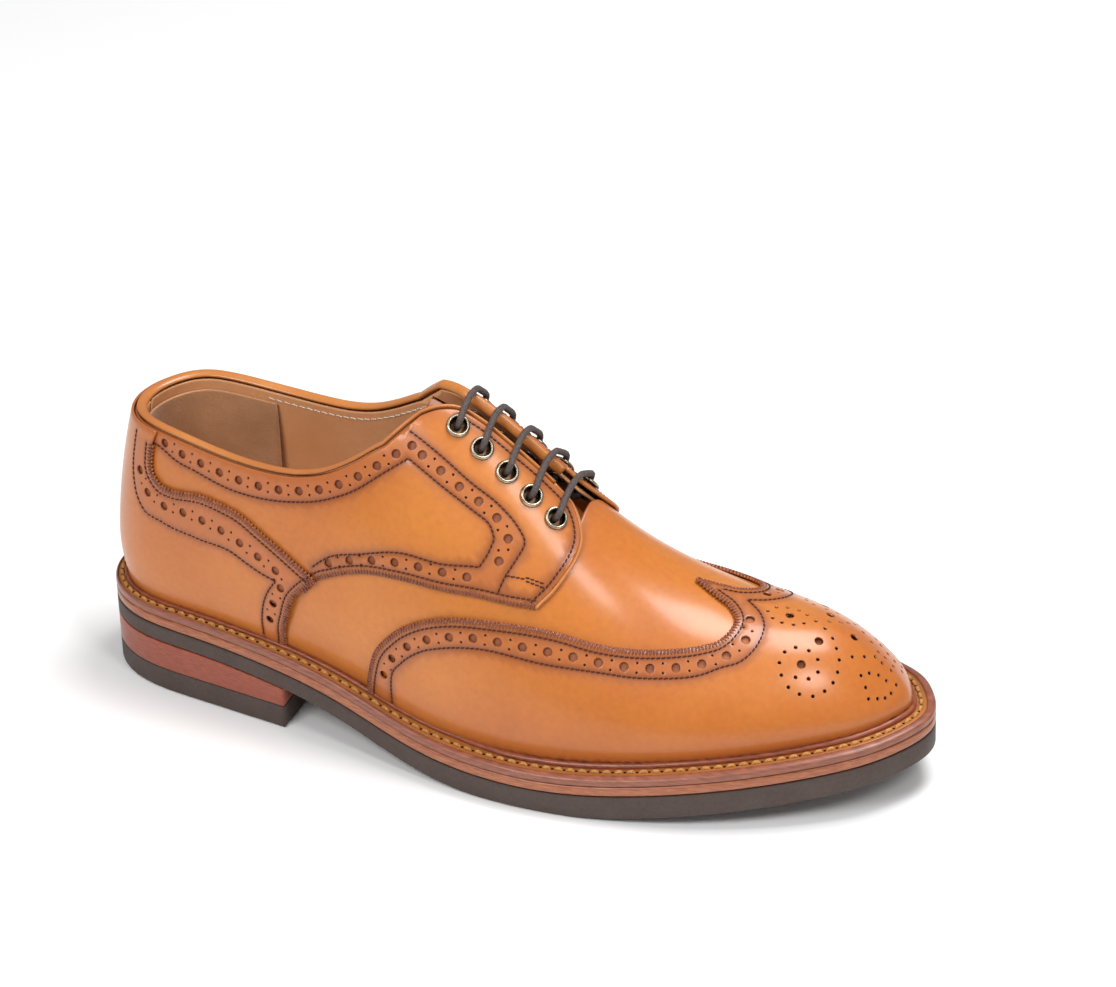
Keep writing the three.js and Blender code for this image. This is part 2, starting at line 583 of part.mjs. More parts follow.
// the tongue hangs under the facings from the throat of the vamp
const TONGUE_BASE = 197;
const TONGUE_HALF = [[128, 6], [130.5, 9.5], [136, 11.5], [150, 12], [172, 11], [TONGUE_BASE, 9.5]];
function buildTongue() {
  const side = (sign, shrink) => TONGUE_HALF.map(([x, half]) => (
    new THREE.Vector3(x, middle(x) + sign * (half - shrink), 0)));
  const outline = (shrink) => {
    const curve = (sign) => new THREE.CatmullRomCurve3(side(sign, shrink), false, 'centripetal')
      .getPoints(16).map((p) => [p.x, p.y]);
    return joined(curve(-1), back(curve(1)));
  };
  const tongue = new THREE.Group();
  const pieces = [['tongue', 0, LAYER.tongue, 0xb06f3a], ['tongue_lining', 0.6, LAYER.tongueLining, LINING]];
  for (const [name, shrink, layer, colour] of pieces) {
    const mesh = new THREE.Mesh(panel(outline(shrink), layer), leather(colour, 0.5));
    mesh.name = name;
    tongue.add(mesh);
  }
  shoe.add(tongue);
}

const EYELET_PROFILE = [[EYELET_BORE, -3.65], [EYELET_BORE, 2.6], [2.9, 2.95], [3.9, 2.65], [4.2, 2.0],
  [2.85, 2.0], [2.85, -3.1], [3.7, -3.3], [3.5, -3.65], [EYELET_BORE, -3.65]];

function eyeletFrame(side, number) {
  const [degrees, depth] = EYELETS[side][number];
  const angle = turn(side, degrees);
  return {
    pattern: patternPoint(angle, depth),
    point: lastPoint(angle, depth),
    normal: lastNormal(angle, depth),
  };
}

function buildEyelets() {
  const metal = new THREE.MeshStandardMaterial({ color: BRASS, roughness: 0.35, metalness: 1 });
  for (const [side, word] of [[OUTER_SIDE, 'outer'], [INNER_SIDE, 'inner']]) {
    EYELETS[side].forEach((_, number) => {
      const profile = EYELET_PROFILE.map(([r, h]) => new THREE.Vector2(r, h));
      const ring = new THREE.LatheGeometry(profile, 10);
      ring.deleteAttribute('normal');
      ring.deleteAttribute('uv');
      const mesh = add(`eyelet_${word}_${number + 1}`, turnedOutwards(mergeVertices(ring, 1e-4)), metal);
      const { point, normal } = eyeletFrame(side, number);
      mesh.position.copy(point);
      mesh.quaternion.setFromUnitVectors(new THREE.Vector3(0, 1, 0), normal);
    });
  }
}

// ---------- lace ----------
// a place above the upper, given as a share of the way across from the outer to the inner eyelet
function across(number, share, offset) {
  const from = eyeletFrame(OUTER_SIDE, number).pattern;
  const to = eyeletFrame(INNER_SIDE, number).pattern;
  const at = patternInverse(from.clone().lerp(to, share));
  return lastPoint(...at).addScaledVector(lastNormal(...at), offset);
}

// a bar from the eyelet on one side to the other, as [share, offset] from the hole to the crown
const BAR = [[0, -2.4], [0, 1.3], [0.018, 3.4], [0.06, 4.65], [0.1, 4.4], [0.2, 3.45], [0.32, 3.1],
  [0.5, 2.8]];
function barRoute(number, fromSide) {
  const whole = [...BAR, ...back(BAR).slice(1).map(([share, offset]) => [1 - share, offset])];
  return whole.map(([share, offset]) => across(number, fromSide === OUTER_SIDE ? share : 1 - share, offset));
}

// the run inside the facing from one eyelet to the next, as [share, offset]
const INSIDE_RUN = [[0.06, -4.6], [0.2, -5.45], [0.5, -5.5], [0.8, -5.45], [0.94, -4.6]];
function insideRoute(side, number, next) {
  const from = eyeletFrame(side, number).pattern;
  const to = eyeletFrame(side, next).pattern;
  return INSIDE_RUN.map(([share, offset]) => {
    const at = patternInverse(from.clone().lerp(to, share));
    return lastPoint(...at).addScaledVector(lastNormal(...at), offset);
  });
}

// the two ends are tucked into the shoe: [degrees, depth, offset] down the wall,
// then [x, y, lift] on the insole
const INNER_END_WALL = [[84.7, 0.25, -4.5], [84.4, 0.29, -5.4], [84, 0.36, -5.6], [83, 0.48, -5.7],
  [82, 0.62, -6], [81.5, 0.76, -7], [81.5, 0.88, -8]];
const INNER_END_FLOOR = [[143, 16], [160, 16], [185, 20], [210, 25], [232, 26], [248, 20], [253, 12],
  [245, 6], [228, 5], [212, 5, 0.8]];
const OUTER_END_WALL = [[98.6, 0.22, -4.5], [99, 0.245, -5.4], [99.5, 0.33, -5.6], [100, 0.45, -5.7],
  [101, 0.6, -6], [102, 0.75, -7], [103.5, 0.87, -8]];
const OUTER_END_FLOOR = [[194, -35], [208, -35], [226, -31], [243, -22], [250, -11], [243, -4],
  [225, -3], [205, -5], [190, -8, 0.5]];

const onInsole = ([x, y, lift = 0]) => (
  new THREE.Vector3(x, y, weltTop(x) + INSOLE_THICK + GAP + LACE_RADIUS + lift));
const onWall = (side) => ([degrees, depth, offset]) => {
  const angle = turn(side, degrees);
  return lastPoint(angle, depth).addScaledVector(lastNormal(angle, depth), offset);
};

function laceRoute() {
  const last = EYELETS[OUTER_SIDE].length - 1;
  const route = [...back(OUTER_END_FLOOR).map(onInsole), ...back(OUTER_END_WALL).map(onWall(OUTER_SIDE))];
  let side = OUTER_SIDE;
  for (let number = last; number >= 0; number--) {
    route.push(...barRoute(number, side));
    side = -side;
    if (number > 0) route.push(...insideRoute(side, number, number - 1));
  }
  return [...route, ...INNER_END_WALL.map(onWall(INNER_SIDE)), ...INNER_END_FLOOR.map(onInsole)];
}

function buildLace() {
  const points = laceRoute();
  const route = new THREE.CatmullRomCurve3(points, false, 'centripetal');
  route.getPointAt = (u, target) => route.getPoint(u, target);
  route.getTangentAt = (u, target) => route.getTangent(u, target);
  const section = new THREE.Shape();
  const sides = 8;
  for (let i = 0; i <= sides; i++) {
    const t = ((i % sides) / sides) * 2 * Math.PI;
    section[i ? 'lineTo' : 'moveTo'](LACE_RADIUS * Math.cos(t), LACE_RADIUS * Math.sin(t));
  }
  const tube = new THREE.ExtrudeGeometry(section, {
    steps: points.length - 1, extrudePath: route, bevelEnabled: false,
  });
  tube.deleteAttribute('normal');
  tube.deleteAttribute('uv');
  add('shoelace', turnedOutwards(mergeVertices(tube, 1e-4)), leather(LACE, 0.6));

  const tipLength = 18;
  const ends = [[points[0], points[1]], [points.at(-1), points.at(-2)]];
  ends.forEach(([end, before], i) => {
    const way = end.clone().sub(before).normalize();
    const tip = new THREE.CylinderGeometry(LACE_RADIUS, LACE_RADIUS, tipLength, 8);
    const mesh = add(`aglet_${i + 1}`, tip, leather(0x3c302c, 0.3));
    mesh.position.copy(end).addScaledVector(way, GAP + tipLength / 2);
    mesh.quaternion.setFromUnitVectors(new THREE.Vector3(0, 1, 0), way);
  });
}

buildSole();
buildHeel();
buildUpper();
buildBinding();
buildTongue();
buildEyelets();
buildLace();
shoe.position.set(-SOLE_LENGTH / 2, 2.6, 0);
export default shoe;
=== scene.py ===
"""A tan leather derby shoe with wing cap and brogue seams, dressed on its CAD frame.

The upper is wrapped on the same last as in the CAD. A place on the last is an angle round the
shoe (0 at the heel's back, then the outer side) and a depth (0 on the crest, 1 at the welt).
Lengths of the shoe are in millimetres and become metres in placed().
"""
import math

import bmesh
import bpy
import numpy as np
from mathutils import Matrix, Vector
from mathutils.geometry import delaunay_2d_cdt
from mathutils.kdtree import KDTree


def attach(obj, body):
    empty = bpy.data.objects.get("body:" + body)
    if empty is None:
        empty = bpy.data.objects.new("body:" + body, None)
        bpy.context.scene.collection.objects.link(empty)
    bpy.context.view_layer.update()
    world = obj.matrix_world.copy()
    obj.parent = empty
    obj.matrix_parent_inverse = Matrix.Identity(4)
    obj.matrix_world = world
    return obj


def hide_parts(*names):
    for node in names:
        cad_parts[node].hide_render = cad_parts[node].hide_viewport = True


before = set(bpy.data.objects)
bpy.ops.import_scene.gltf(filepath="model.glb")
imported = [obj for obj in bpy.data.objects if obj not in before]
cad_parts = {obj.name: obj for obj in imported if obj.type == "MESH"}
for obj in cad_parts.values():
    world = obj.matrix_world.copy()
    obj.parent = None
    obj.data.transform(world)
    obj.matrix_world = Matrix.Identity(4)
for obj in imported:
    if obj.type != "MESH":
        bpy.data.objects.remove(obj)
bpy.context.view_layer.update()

# ---------- driving dimensions, as in the CAD ----------
SOLE_LENGTH = 308.0
HEEL_LENGTH = 80.0
GAP = 0.3
TOP_PIECE_THICK = 8.7
OUTSOLE_HEEL = 6.3
OUTSOLE_FORE = 8.2
MIDSOLE_THICK = 3.9
WELT_THICK = 3.2
INSOLE_THICK = 2.8
CREST_HEEL = 60.0
CREST_TOE = 260.0
TOE_ZONE, HEEL_ZONE = 205.0, 90.0          # beyond these the crest draws in from the rim
TOE_MARGIN, HEEL_MARGIN = 9.5, 6.0
INSWING = 5.0
LACE_RADIUS = 1.2
EYELET_BORE = 2.4
BINDING_HEIGHT = 2.2
OUTER_SIDE, INNER_SIDE = 1, -1
LAYER = {
    "lining": (-2.7, -1.65),
    "vamp": (-1.2, -0.2),
    "backing": (-0.12, 0.18),
    "outer": (0.3, 1.5),
    "cover_backing": (1.58, 1.88),
    "cover": (2.0, 3.0),
    "grip": (-4.1, -3.15),
    "tongue": (-8.6, -7.4),
    "tongue_lining": (-9.9, -8.9),
}
TO_FRAME = np.array([-SOLE_LENGTH / 2, 2.6, 0.0])
MM = 0.001
UP = np.array([0.0, 0.0, 1.0])


def placed(points):
    """Design points in millimetres, in the frame's metres."""
    return (np.asarray(points, float) + TO_FRAME) * MM


def unit(vectors):
    return vectors / np.linalg.norm(vectors, axis=-1, keepdims=True)


def running_length(line):
    """Distance from the start of a line to each of its points."""
    return np.concatenate([[0], np.cumsum(np.linalg.norm(np.diff(line, axis=0), axis=1))])


def along_line(line, measure, at):
    """Points of a line where a running measure of it takes the given values."""
    return np.column_stack([np.interp(at, measure, column) for column in line.T])


# ---------- curves of the last ----------
def spline(points):
    """Natural cubic spline through (x, y) points, straight beyond its ends."""
    x, y = np.array(points, float).T
    n = len(x)
    h = np.diff(x)
    a = np.eye(n)
    b = np.zeros(n)
    for i in range(1, n - 1):
        a[i, i - 1:i + 2] = h[i - 1], 2 * (h[i - 1] + h[i]), h[i]
        b[i] = 6 * ((y[i + 1] - y[i]) / h[i] - (y[i] - y[i - 1]) / h[i - 1])
    m = np.linalg.solve(a, b)
    first = (y[1] - y[0]) / h[0] - h[0] * m[1] / 6
    last = (y[-1] - y[-2]) / h[-1] + h[-1] * m[-2] / 6

    def value(v):
        v = np.asarray(v, float)
        i = np.clip(np.searchsorted(x, v) - 1, 0, n - 2)
        p, q = x[i + 1] - v, v - x[i]
        inside = ((m[i] * p ** 3 + m[i + 1] * q ** 3) / (6 * h[i])
                  + (y[i] / h[i] - m[i] * h[i] / 6) * p + (y[i + 1] / h[i] - m[i + 1] * h[i] / 6) * q)
        low = y[0] + (v - x[0]) * first
        high = y[-1] + (v - x[-1]) * last
        return np.where(v < x[0], low, np.where(v > x[-1], high, inside))
    return value


OUTER_HALF = [(14, 24), (35, 31), (65, 36), (100, 42.5), (140, 52.5), (175, 58), (205, 57),
              (235, 52), (262, 43), (285, 31), (299, 19)]
INNER_HALF = [(14, 26), (35, 33), (65, 33.5), (100, 31.5), (135, 32), (170, 38), (200, 45.5),
              (225, 48.5), (250, 45.5), (275, 37), (292, 27.5), (301, 18)]
HEEL_FULLNESS = 64
TOE_FULLNESS = 50


def roundness(x):
    return 2 * math.sqrt(x / SOLE_LENGTH * (1 - x / SOLE_LENGTH))


def width_curve(half):
    return spline([(0, HEEL_FULLNESS)] + [(x, w / roundness(x)) for x, w in half]
                  + [(SOLE_LENGTH, TOE_FULLNESS)])


outer_width = width_curve(OUTER_HALF)
inner_width = width_curve(INNER_HALF)
welt_top = spline([(0, 34), (40, 33.9), (75, 31.2), (105, 25.8), (135, 18.4), (165, 15.9),
                   (195, 16.4), (230, 20.4), (270, 25.6), (308, 30.4)])
welt_margin = spline([(0, 5.5), (60, 6), (120, 7.5), (180, 10), (240, 10.8), (308, 10.5)])
crest_height = spline([(0, 164), (60, 157), (105, 139), (130, 131), (150, 120.5), (175, 100.5),
                       (200, 79.5), (225, 66), (250, 60), (270, 56.5), (290, 49), (308, 41)])
top_power = spline([(0, 1.85), (60, 1.95), (110, 2), (150, 1.75), (180, 1.8), (210, 2),
                    (250, 2.08), (308, 2.15)])
wall_power = spline([(0, 1.75), (60, 2), (110, 2.1), (150, 1.9), (180, 1.9), (210, 2.05),
                     (250, 2.18), (308, 2.15)])
wall_bulge = spline([(0, 0), (60, 2.5), (120, 2.5), (180, 2.5), (230, 3), (270, 2.5), (308, 0.8)])
topline_height = spline([(5, 104), (28, 105.6), (50, 103.4), (76, 101.6), (96, 104.8),
                         (116, 116), (132, 126)])


def middle(x):
    return INSWING * (np.asarray(x, float) / SOLE_LENGTH) ** 2


def rim_point(angle):
    x = SOLE_LENGTH / 2 * (1 - np.cos(angle))
    width = np.where(np.sin(angle) >= 0, outer_width(x), inner_width(x))
    return np.stack([x, -np.sin(angle) * width + middle(x)], -1)


def sole_edge(angle, inset=0.0):
    """The sole's outline seen from above, moved in by inset."""
    angle = np.asarray(angle, float)
    small = 1e-4
    along = unit(rim_point(angle + small) - rim_point(angle - small))
    inwards = np.stack([-along[..., 1], along[..., 0]], -1)
    return rim_point(angle) + inwards * np.asarray(inset)[..., None]


def crest_point(angle):
    x = rim_point(angle)[..., 0]
    past_toe = np.maximum(x - TOE_ZONE, 0) / (SOLE_LENGTH - TOE_ZONE)
    past_heel = np.maximum(HEEL_ZONE - x, 0) / HEEL_ZONE
    along = (x - (SOLE_LENGTH - TOE_MARGIN - CREST_TOE) * past_toe ** 2
             + (CREST_HEEL - HEEL_MARGIN) * past_heel ** 2)
    return np.stack([along, middle(along)], -1)


# everything that depends on the angle alone is worked out once
TURNS = np.linspace(0, 2 * np.pi, 2881)
_rim = sole_edge(TURNS, welt_margin(rim_point(TURNS)[..., 0]))
FOOT = np.column_stack([_rim, welt_top(_rim[:, 0]) + GAP])
TOP = crest_point(TURNS)
POWERS = np.column_stack([top_power(FOOT[:, 0]), wall_power(FOOT[:, 0]), wall_bulge(FOOT[:, 0])])


def at_turn(table, angle):
    angle = np.mod(angle, 2 * np.pi)
    return np.stack([np.interp(angle, TURNS, column) for column in table.T], -1)


def last_point(angle, depth):
    angle, depth = np.broadcast_arrays(np.asarray(angle, float), np.asarray(depth, float))
    foot, top, powers = at_turn(FOOT, angle), at_turn(TOP, angle), at_turn(POWERS, angle)
    reach = np.sin(np.pi / 2 * np.clip(depth, 0, 1))
    rise = np.maximum(1 - reach ** powers[..., 0], 0) ** (1 / powers[..., 1])
    out = foot[..., :2] - top
    swell = powers[..., 2] / np.linalg.norm(out, axis=-1) * rise * (1 - rise) ** 3 * 256 / 27
    p = top + out * (reach + swell)[..., None]
    z = foot[..., 2] + (crest_height(p[..., 0]) - foot[..., 2]) * rise
    return np.concatenate([p, z[..., None]], -1)


def last_normal(angle, depth):
    small = 1e-3
    d = np.clip(depth, small, 1 - small)
    around = last_point(angle + small, d) - last_point(angle - small, d)
    down = last_point(angle, d + small) - last_point(angle, d - small)
    return unit(np.cross(down, around))


def above(angle, depth, offset=0.0):
    """Points of the last moved out along its normal."""
    return last_point(angle, depth) + last_normal(angle, depth) * np.asarray(offset, float)[..., None]


# the last unrolled: spokes from the crest, laid out at their true length
SPOKES = np.linspace(0, 2 * np.pi, 721)
DEPTHS = np.linspace(0, 1, 161)
HALVINGS = 26                      # steps of each search by halving
_grid = last_point(SPOKES[:, None], DEPTHS[None, :])
ARC = np.zeros((len(SPOKES), len(DEPTHS)))
ARC[:, 1:] = np.cumsum(np.linalg.norm(np.diff(_grid, axis=1), axis=-1), axis=1)


def arc_rows(angle):
    t = np.mod(angle, 2 * np.pi) / (2 * np.pi) * (len(SPOKES) - 1)
    i = np.clip(t.astype(int), 0, len(SPOKES) - 2)
    share = (t - i)[:, None]
    return ARC[i] * (1 - share) + ARC[i + 1] * share


def chart(angle, depth):
    """Flat place of [angle, depth] on the unrolled last."""
    angle, depth = np.broadcast_arrays(np.atleast_1d(np.asarray(angle, float)), np.atleast_1d(depth))
    top = at_turn(TOP, angle)
    out = unit(at_turn(FOOT, angle)[..., :2] - top)
    rows = arc_rows(angle)
    t = np.clip(depth, 0, 1) * (len(DEPTHS) - 1)
    i = np.clip(t.astype(int), 0, len(DEPTHS) - 2)
    k = np.arange(len(angle))
    length = rows[k, i] * (1 - (t - i)) + rows[k, i + 1] * (t - i)
    return top + out * length[:, None]


def locate(xy):
    """Angle of the spoke through a flat place, and the distance along it from the crest."""
    xy = np.atleast_2d(np.asarray(xy, float))
    part = middle(xy[:, 0])
    for angle, behind in ((0.0, True), (np.pi, False)):
        end, foot = at_turn(TOP, np.array([angle]))[0], at_turn(FOOT, np.array([angle]))[0]
        share = (xy[:, 0] - end[0]) / (foot[0] - end[0])
        here = (share > 0) & ((xy[:, 0] < SOLE_LENGTH / 2) == behind)
        part = np.where(here, end[1] + share * (foot[1] - end[1]), part)
    low = np.where(xy[:, 1] <= part, 0.0, np.pi)
    high = low + np.pi
    for _ in range(HALVINGS):
        angle = (low + high) / 2
        foot, top = at_turn(FOOT, angle), at_turn(TOP, angle)
        turned = ((foot[:, 0] - top[:, 0]) * (xy[:, 1] - top[:, 1])
                  - (foot[:, 1] - top[:, 1]) * (xy[:, 0] - top[:, 0]))
        low = np.where(turned > 0, angle, low)
        high = np.where(turned > 0, high, angle)
    angle = (low + high) / 2
    return angle, np.linalg.norm(xy - at_turn(TOP, angle), axis=-1)


def unroll(xy):
    """[angle, depth] of flat places on the unrolled last."""
    angle, length = locate(xy)
    rows = arc_rows(angle)
    i = np.clip((rows < length[:, None]).sum(1) - 1, 0, len(DEPTHS) - 2)
    k = np.arange(len(angle))
    a, b = rows[k, i], rows[k, i + 1]
    return angle, np.clip((i + (length - a) / (b - a)) / (len(DEPTHS) - 1), 0, 1)


def surface(xy, offset=0.0):
    return above(*unroll(xy), offset)


SMALL_MOVE = 0.05


def slope(xy, way):
    """How a point of the last moves per flat millimetre along a flat direction."""
    step = np.array(way) * SMALL_MOVE
    return (surface(xy + step) - surface(xy - step)) / (2 * SMALL_MOVE)


def moved(xy, along, across):
    """Flat places moved by true millimetres along the x of the chart and square to it on the last."""
    dx, dy = slope(xy, (1, 0)), slope(xy, (0, 1))
    long = np.linalg.norm(dx, axis=-1)
    first = dx / long[:, None]
    skew = (dy * first).sum(-1)
    square = np.linalg.norm(dy - skew[:, None] * first, axis=-1)
    v = across / square
    return xy + np.column_stack([(along - v * skew) / long, v])


# ---------- curves on the unrolled last ----------
def catmull(knots, step):
    """The centripetal curve through flat points, with about one point per step."""
    p = np.asarray(knots, float)
    p = np.vstack([2 * p[0] - p[1], p, 2 * p[-1] - p[-2]])
    out = []
    for a, b, c, d in zip(p, p[1:], p[2:], p[3:]):
        t0, t1, t2 = (max(math.sqrt(np.linalg.norm(v)), 1e-4) for v in (b - a, c - b, d - c))
        m1 = ((b - a) / t0 - (c - a) / (t0 + t1) + (c - b) / t1) * t1
        m2 = ((c - b) / t1 - (d - b) / (t1 + t2) + (d - c) / t2) * t1
        t = np.linspace(0, 1, max(int(np.linalg.norm(c - b) / step), 2), endpoint=False)[:, None]
        out.append(b + m1 * t + (3 * (c - b) - 2 * m1 - m2) * t ** 2 + (2 * (b - c) + m1 + m2) * t ** 3)
    return np.vstack(out + [p[-2:-1]])


def turn(side, degrees):
    degrees = np.asarray(degrees, float)
    return np.radians(degrees if side > 0 else 360 - degrees)


def spaced(xy, step, ends=True):
    """The curve again with points at equal true distances along the last."""
    length = running_length(surface(xy))
    count = max(int(round(length[-1] / step)), 1)
    at = np.linspace(0, length[-1], count + 1) if ends else (np.arange(count) + 0.5) * length[-1] / count
    return along_line(xy, length, at)


FLAT_STEP = 0.7


def pattern(side, points):
    """[degrees, depth] points on the CAD's flat pattern, where depth is a share of the spoke."""
    angle, depth = turn(side, [p[0] for p in points]), np.array([p[1] for p in points], float)
    top = at_turn(TOP, angle)
    return top + (at_turn(FOOT, angle)[:, :2] - top) * depth[:, None]


def on_pattern(flat):
    """[angle, depth] of places on the CAD's flat pattern."""
    angle, length = locate(flat)
    return angle, length / np.linalg.norm(at_turn(FOOT, angle)[:, :2] - at_turn(TOP, angle), axis=-1)


def from_pattern(flat):
    return chart(*on_pattern(flat))


def edge(side, points):
    """Smooth curve through [degrees, depth] points on one side of the shoe, as in the CAD's pattern."""
    return from_pattern(catmull(pattern(side, points), FLAT_STEP))


def depth_at_height(angle, lower):
    low, high = np.zeros_like(angle), np.ones_like(angle)
    for _ in range(HALVINGS):
        mid = (low + high) / 2
        p = last_point(angle, mid)
        above = p[:, 2] > topline_height(p[:, 0]) - lower
        low, high = np.where(above, mid, low), np.where(above, high, mid)
    return low


def top_edge(side, start, end, lower):
    degrees = np.linspace(start, end, int(round(abs(end - start) / 4)) + 1)
    return edge(side, list(zip(degrees, depth_at_height(turn(side, degrees), lower))))


def feather(side, start, end, depth=1.0):
    return chart(turn(side, np.linspace(start, end, int(abs(end - start) * 2) + 2)), depth)


def joined(*curves):
    points = np.vstack(curves)
    keep = np.linalg.norm(points - np.roll(points, 1, axis=0), axis=1) > 0.05
    points = points[keep]
    area = np.cross(points, np.roll(points, -1, axis=0)).sum()
    return points if area > 0 else points[::-1]


def across_crest(points):
    return np.vstack([edge(OUTER_SIDE, points), edge(INNER_SIDE, points)[::-1]])


def between(a, b, share=0.5):
    """The curve that lies a share of the way from one curve to another."""
    t = np.linspace(0, 1, 160)
    even = [along_line(curve, length, t * length[-1]) for curve, length in
            ((c, running_length(c)) for c in (a, b))]
    return even[0] * (1 - share) + even[1] * share


def beside(xy, distance):
    """A curve a true distance to the left of another, seen from outside with the chart's z up."""
    normal = last_normal(*unroll(xy))
    left = unit(np.cross(normal, np.gradient(surface(xy), axis=0)))
    first = unit(slope(xy, (1, 0)))
    second = np.cross(normal, first)
    distance = np.asarray(distance)
    return moved(xy, distance * (left * first).sum(1), distance * (left * second).sum(1))


def rail(path, lift=lambda depth: 0 * depth):
    """Points above a curve of the unrolled last, with the normal and the way ahead at each."""
    angle, depth = unroll(path)
    normal = last_normal(angle, depth)
    at = above(angle, depth, lift(depth))
    along = np.gradient(at, axis=0)
    return at, normal, unit(along - (along * normal).sum(1)[:, None] * normal)


# ---------- meshes ----------
def in_scene(name, data):
    obj = bpy.data.objects.new(name, data)
    bpy.context.scene.collection.objects.link(obj)
    return obj


def new_piece(name, points, faces, material, body="shoe", replaces=(), slot="calf",
              normals=None, marks=None):
    """A smooth mesh from design points, riding on a CAD body."""
    mesh = bpy.data.meshes.new(name)
    mesh.from_pydata(placed(points).tolist(), [], [tuple(int(i) for i in f) for f in faces])
    for key, values in (marks or {}).items():
        mesh.attributes.new(key, "FLOAT", "POINT").data.foreach_set("value", np.asarray(values, np.float32))
    mesh.update()
    mesh.shade_smooth()
    if normals is not None:
        own = np.zeros(len(points) * 3, np.float32)
        mesh.vertex_normals.foreach_get("vector", own)
        own = own.reshape(-1, 3)
        exact, share = normals
        mixed = own * (1 - share[:, None]) + exact * share[:, None]
        mixed /= np.maximum(np.linalg.norm(mixed, axis=1, keepdims=True), 1e-9)
        mesh.normals_split_custom_set_from_vertices(mixed.tolist())
    obj = in_scene(name, mesh)
    obj.data.materials.append(material)
    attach(obj, body)
    if replaces:
        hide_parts(*replaces)
    return obj


def nearest(points, places):
    """Distance from each flat place to the closest of the flat points."""
    if not len(points):
        return np.full(len(places), 1e3)
    tree = KDTree(len(points))
    for i, (x, y) in enumerate(points):
        tree.insert((x, y, 0), i)
    tree.balance()
    return np.array([tree.find((x, y, 0))[2] for x, y in places])


def inside_polygon(polygon, places):
    inside = np.zeros(len(places), bool)
    a, b = polygon, np.roll(polygon, -1, axis=0)
    for (ax, ay), (bx, by) in zip(a, b):
        if ay == by:
            continue
        cross = (ay > places[:, 1]) != (by > places[:, 1])
        inside ^= cross & (places[:, 0] < (bx - ax) * (places[:, 1] - ay) / (by - ay) + ax)
    return inside


GRID = 2.3                         # spacing of a panel's inner points on the unrolled last
GROOVE = 0.22                      # how deep a seam pulls the leather in
GROOVE_WIDTH = 0.75
GUIDES = (-1.1, 0, 1.1)            # lines of points along a seam
EDGE_GUIDES, HOLE_GUIDES = (0.16, 0.5), (0.25,)
HOLE_MARGIN = 0.5                  # least leather between a hole and its panel's edge
HOLE_ROUNDING = 0.1
WELT_SHADE = 9                     # how far up from the welt the leather is darker, as painted shade


def turned_loop(loop, distances):
    """Rings of points just inside a loop."""
    ahead = np.roll(loop, -1, axis=0) - np.roll(loop, 1, axis=0)
    inwards = unit(np.column_stack([-ahead[:, 1], ahead[:, 0]]))
    return [loop + inwards * d for d in distances]


def cut_sheet(outline, holes, seams, grid):
    """Flat triangles that fill an outline round its holes: points, faces and each point's loop or -1."""
    loops = [outline, *holes]
    rim = np.vstack([loop + (np.roll(loop, -1, axis=0) - loop) * t for loop in loops for t in (0, 0.5)])
    low, high = outline.min(0), outline.max(0)
    xs, ys = np.arange(low[0], high[0], grid), np.arange(low[1], high[1], grid * 0.866)
    field = np.array([(x + (j % 2) * grid / 2, y) for j, y in enumerate(ys) for x in xs])
    extra = np.vstack([*(spaced(beside(seam, d), 1.3) for seam in seams for d in GUIDES),
                       *turned_loop(outline, EDGE_GUIDES),
                       *(ring for hole in holes for ring in turned_loop(hole, HOLE_GUIDES))])

    def in_leather(points):
        inside = inside_polygon(outline, points)
        for hole in holes:
            near = np.nonzero(np.abs(points - hole.mean(0)).max(1) < 4)[0]
            inside[near] &= ~inside_polygon(hole, points[near])
        return inside

    def clear(points, distance):
        points = points[in_leather(points)]
        return points[nearest(rim, points) > distance]
    extra, field = clear(extra, 0.13), clear(field, 0.9)
    field = field[nearest(extra, field) > 0.9]
    points = np.vstack([*loops, extra, field])
    sides, owner, start = [], np.full(len(points), -1), 0
    for k, loop in enumerate(loops):
        sides += [(start + i, start + (i + 1) % len(loop)) for i in range(len(loop))]
        owner[start:start + len(loop)] = k
        start += len(loop)
    flat, _, triangles, origin, *_ = delaunay_2d_cdt([Vector(p) for p in points], sides, [], 0, 1e-5)
    flat = np.array([tuple(p) for p in flat])
    owner = np.array([max((owner[i] for i in o), default=-1) for o in origin])
    triangles = np.array(triangles)
    triangles = triangles[in_leather(flat[triangles].mean(1))]
    used = np.unique(triangles)
    renumber = np.full(len(flat), -1)
    renumber[used] = np.arange(len(used))
    return flat[used], renumber[triangles], owner[used]


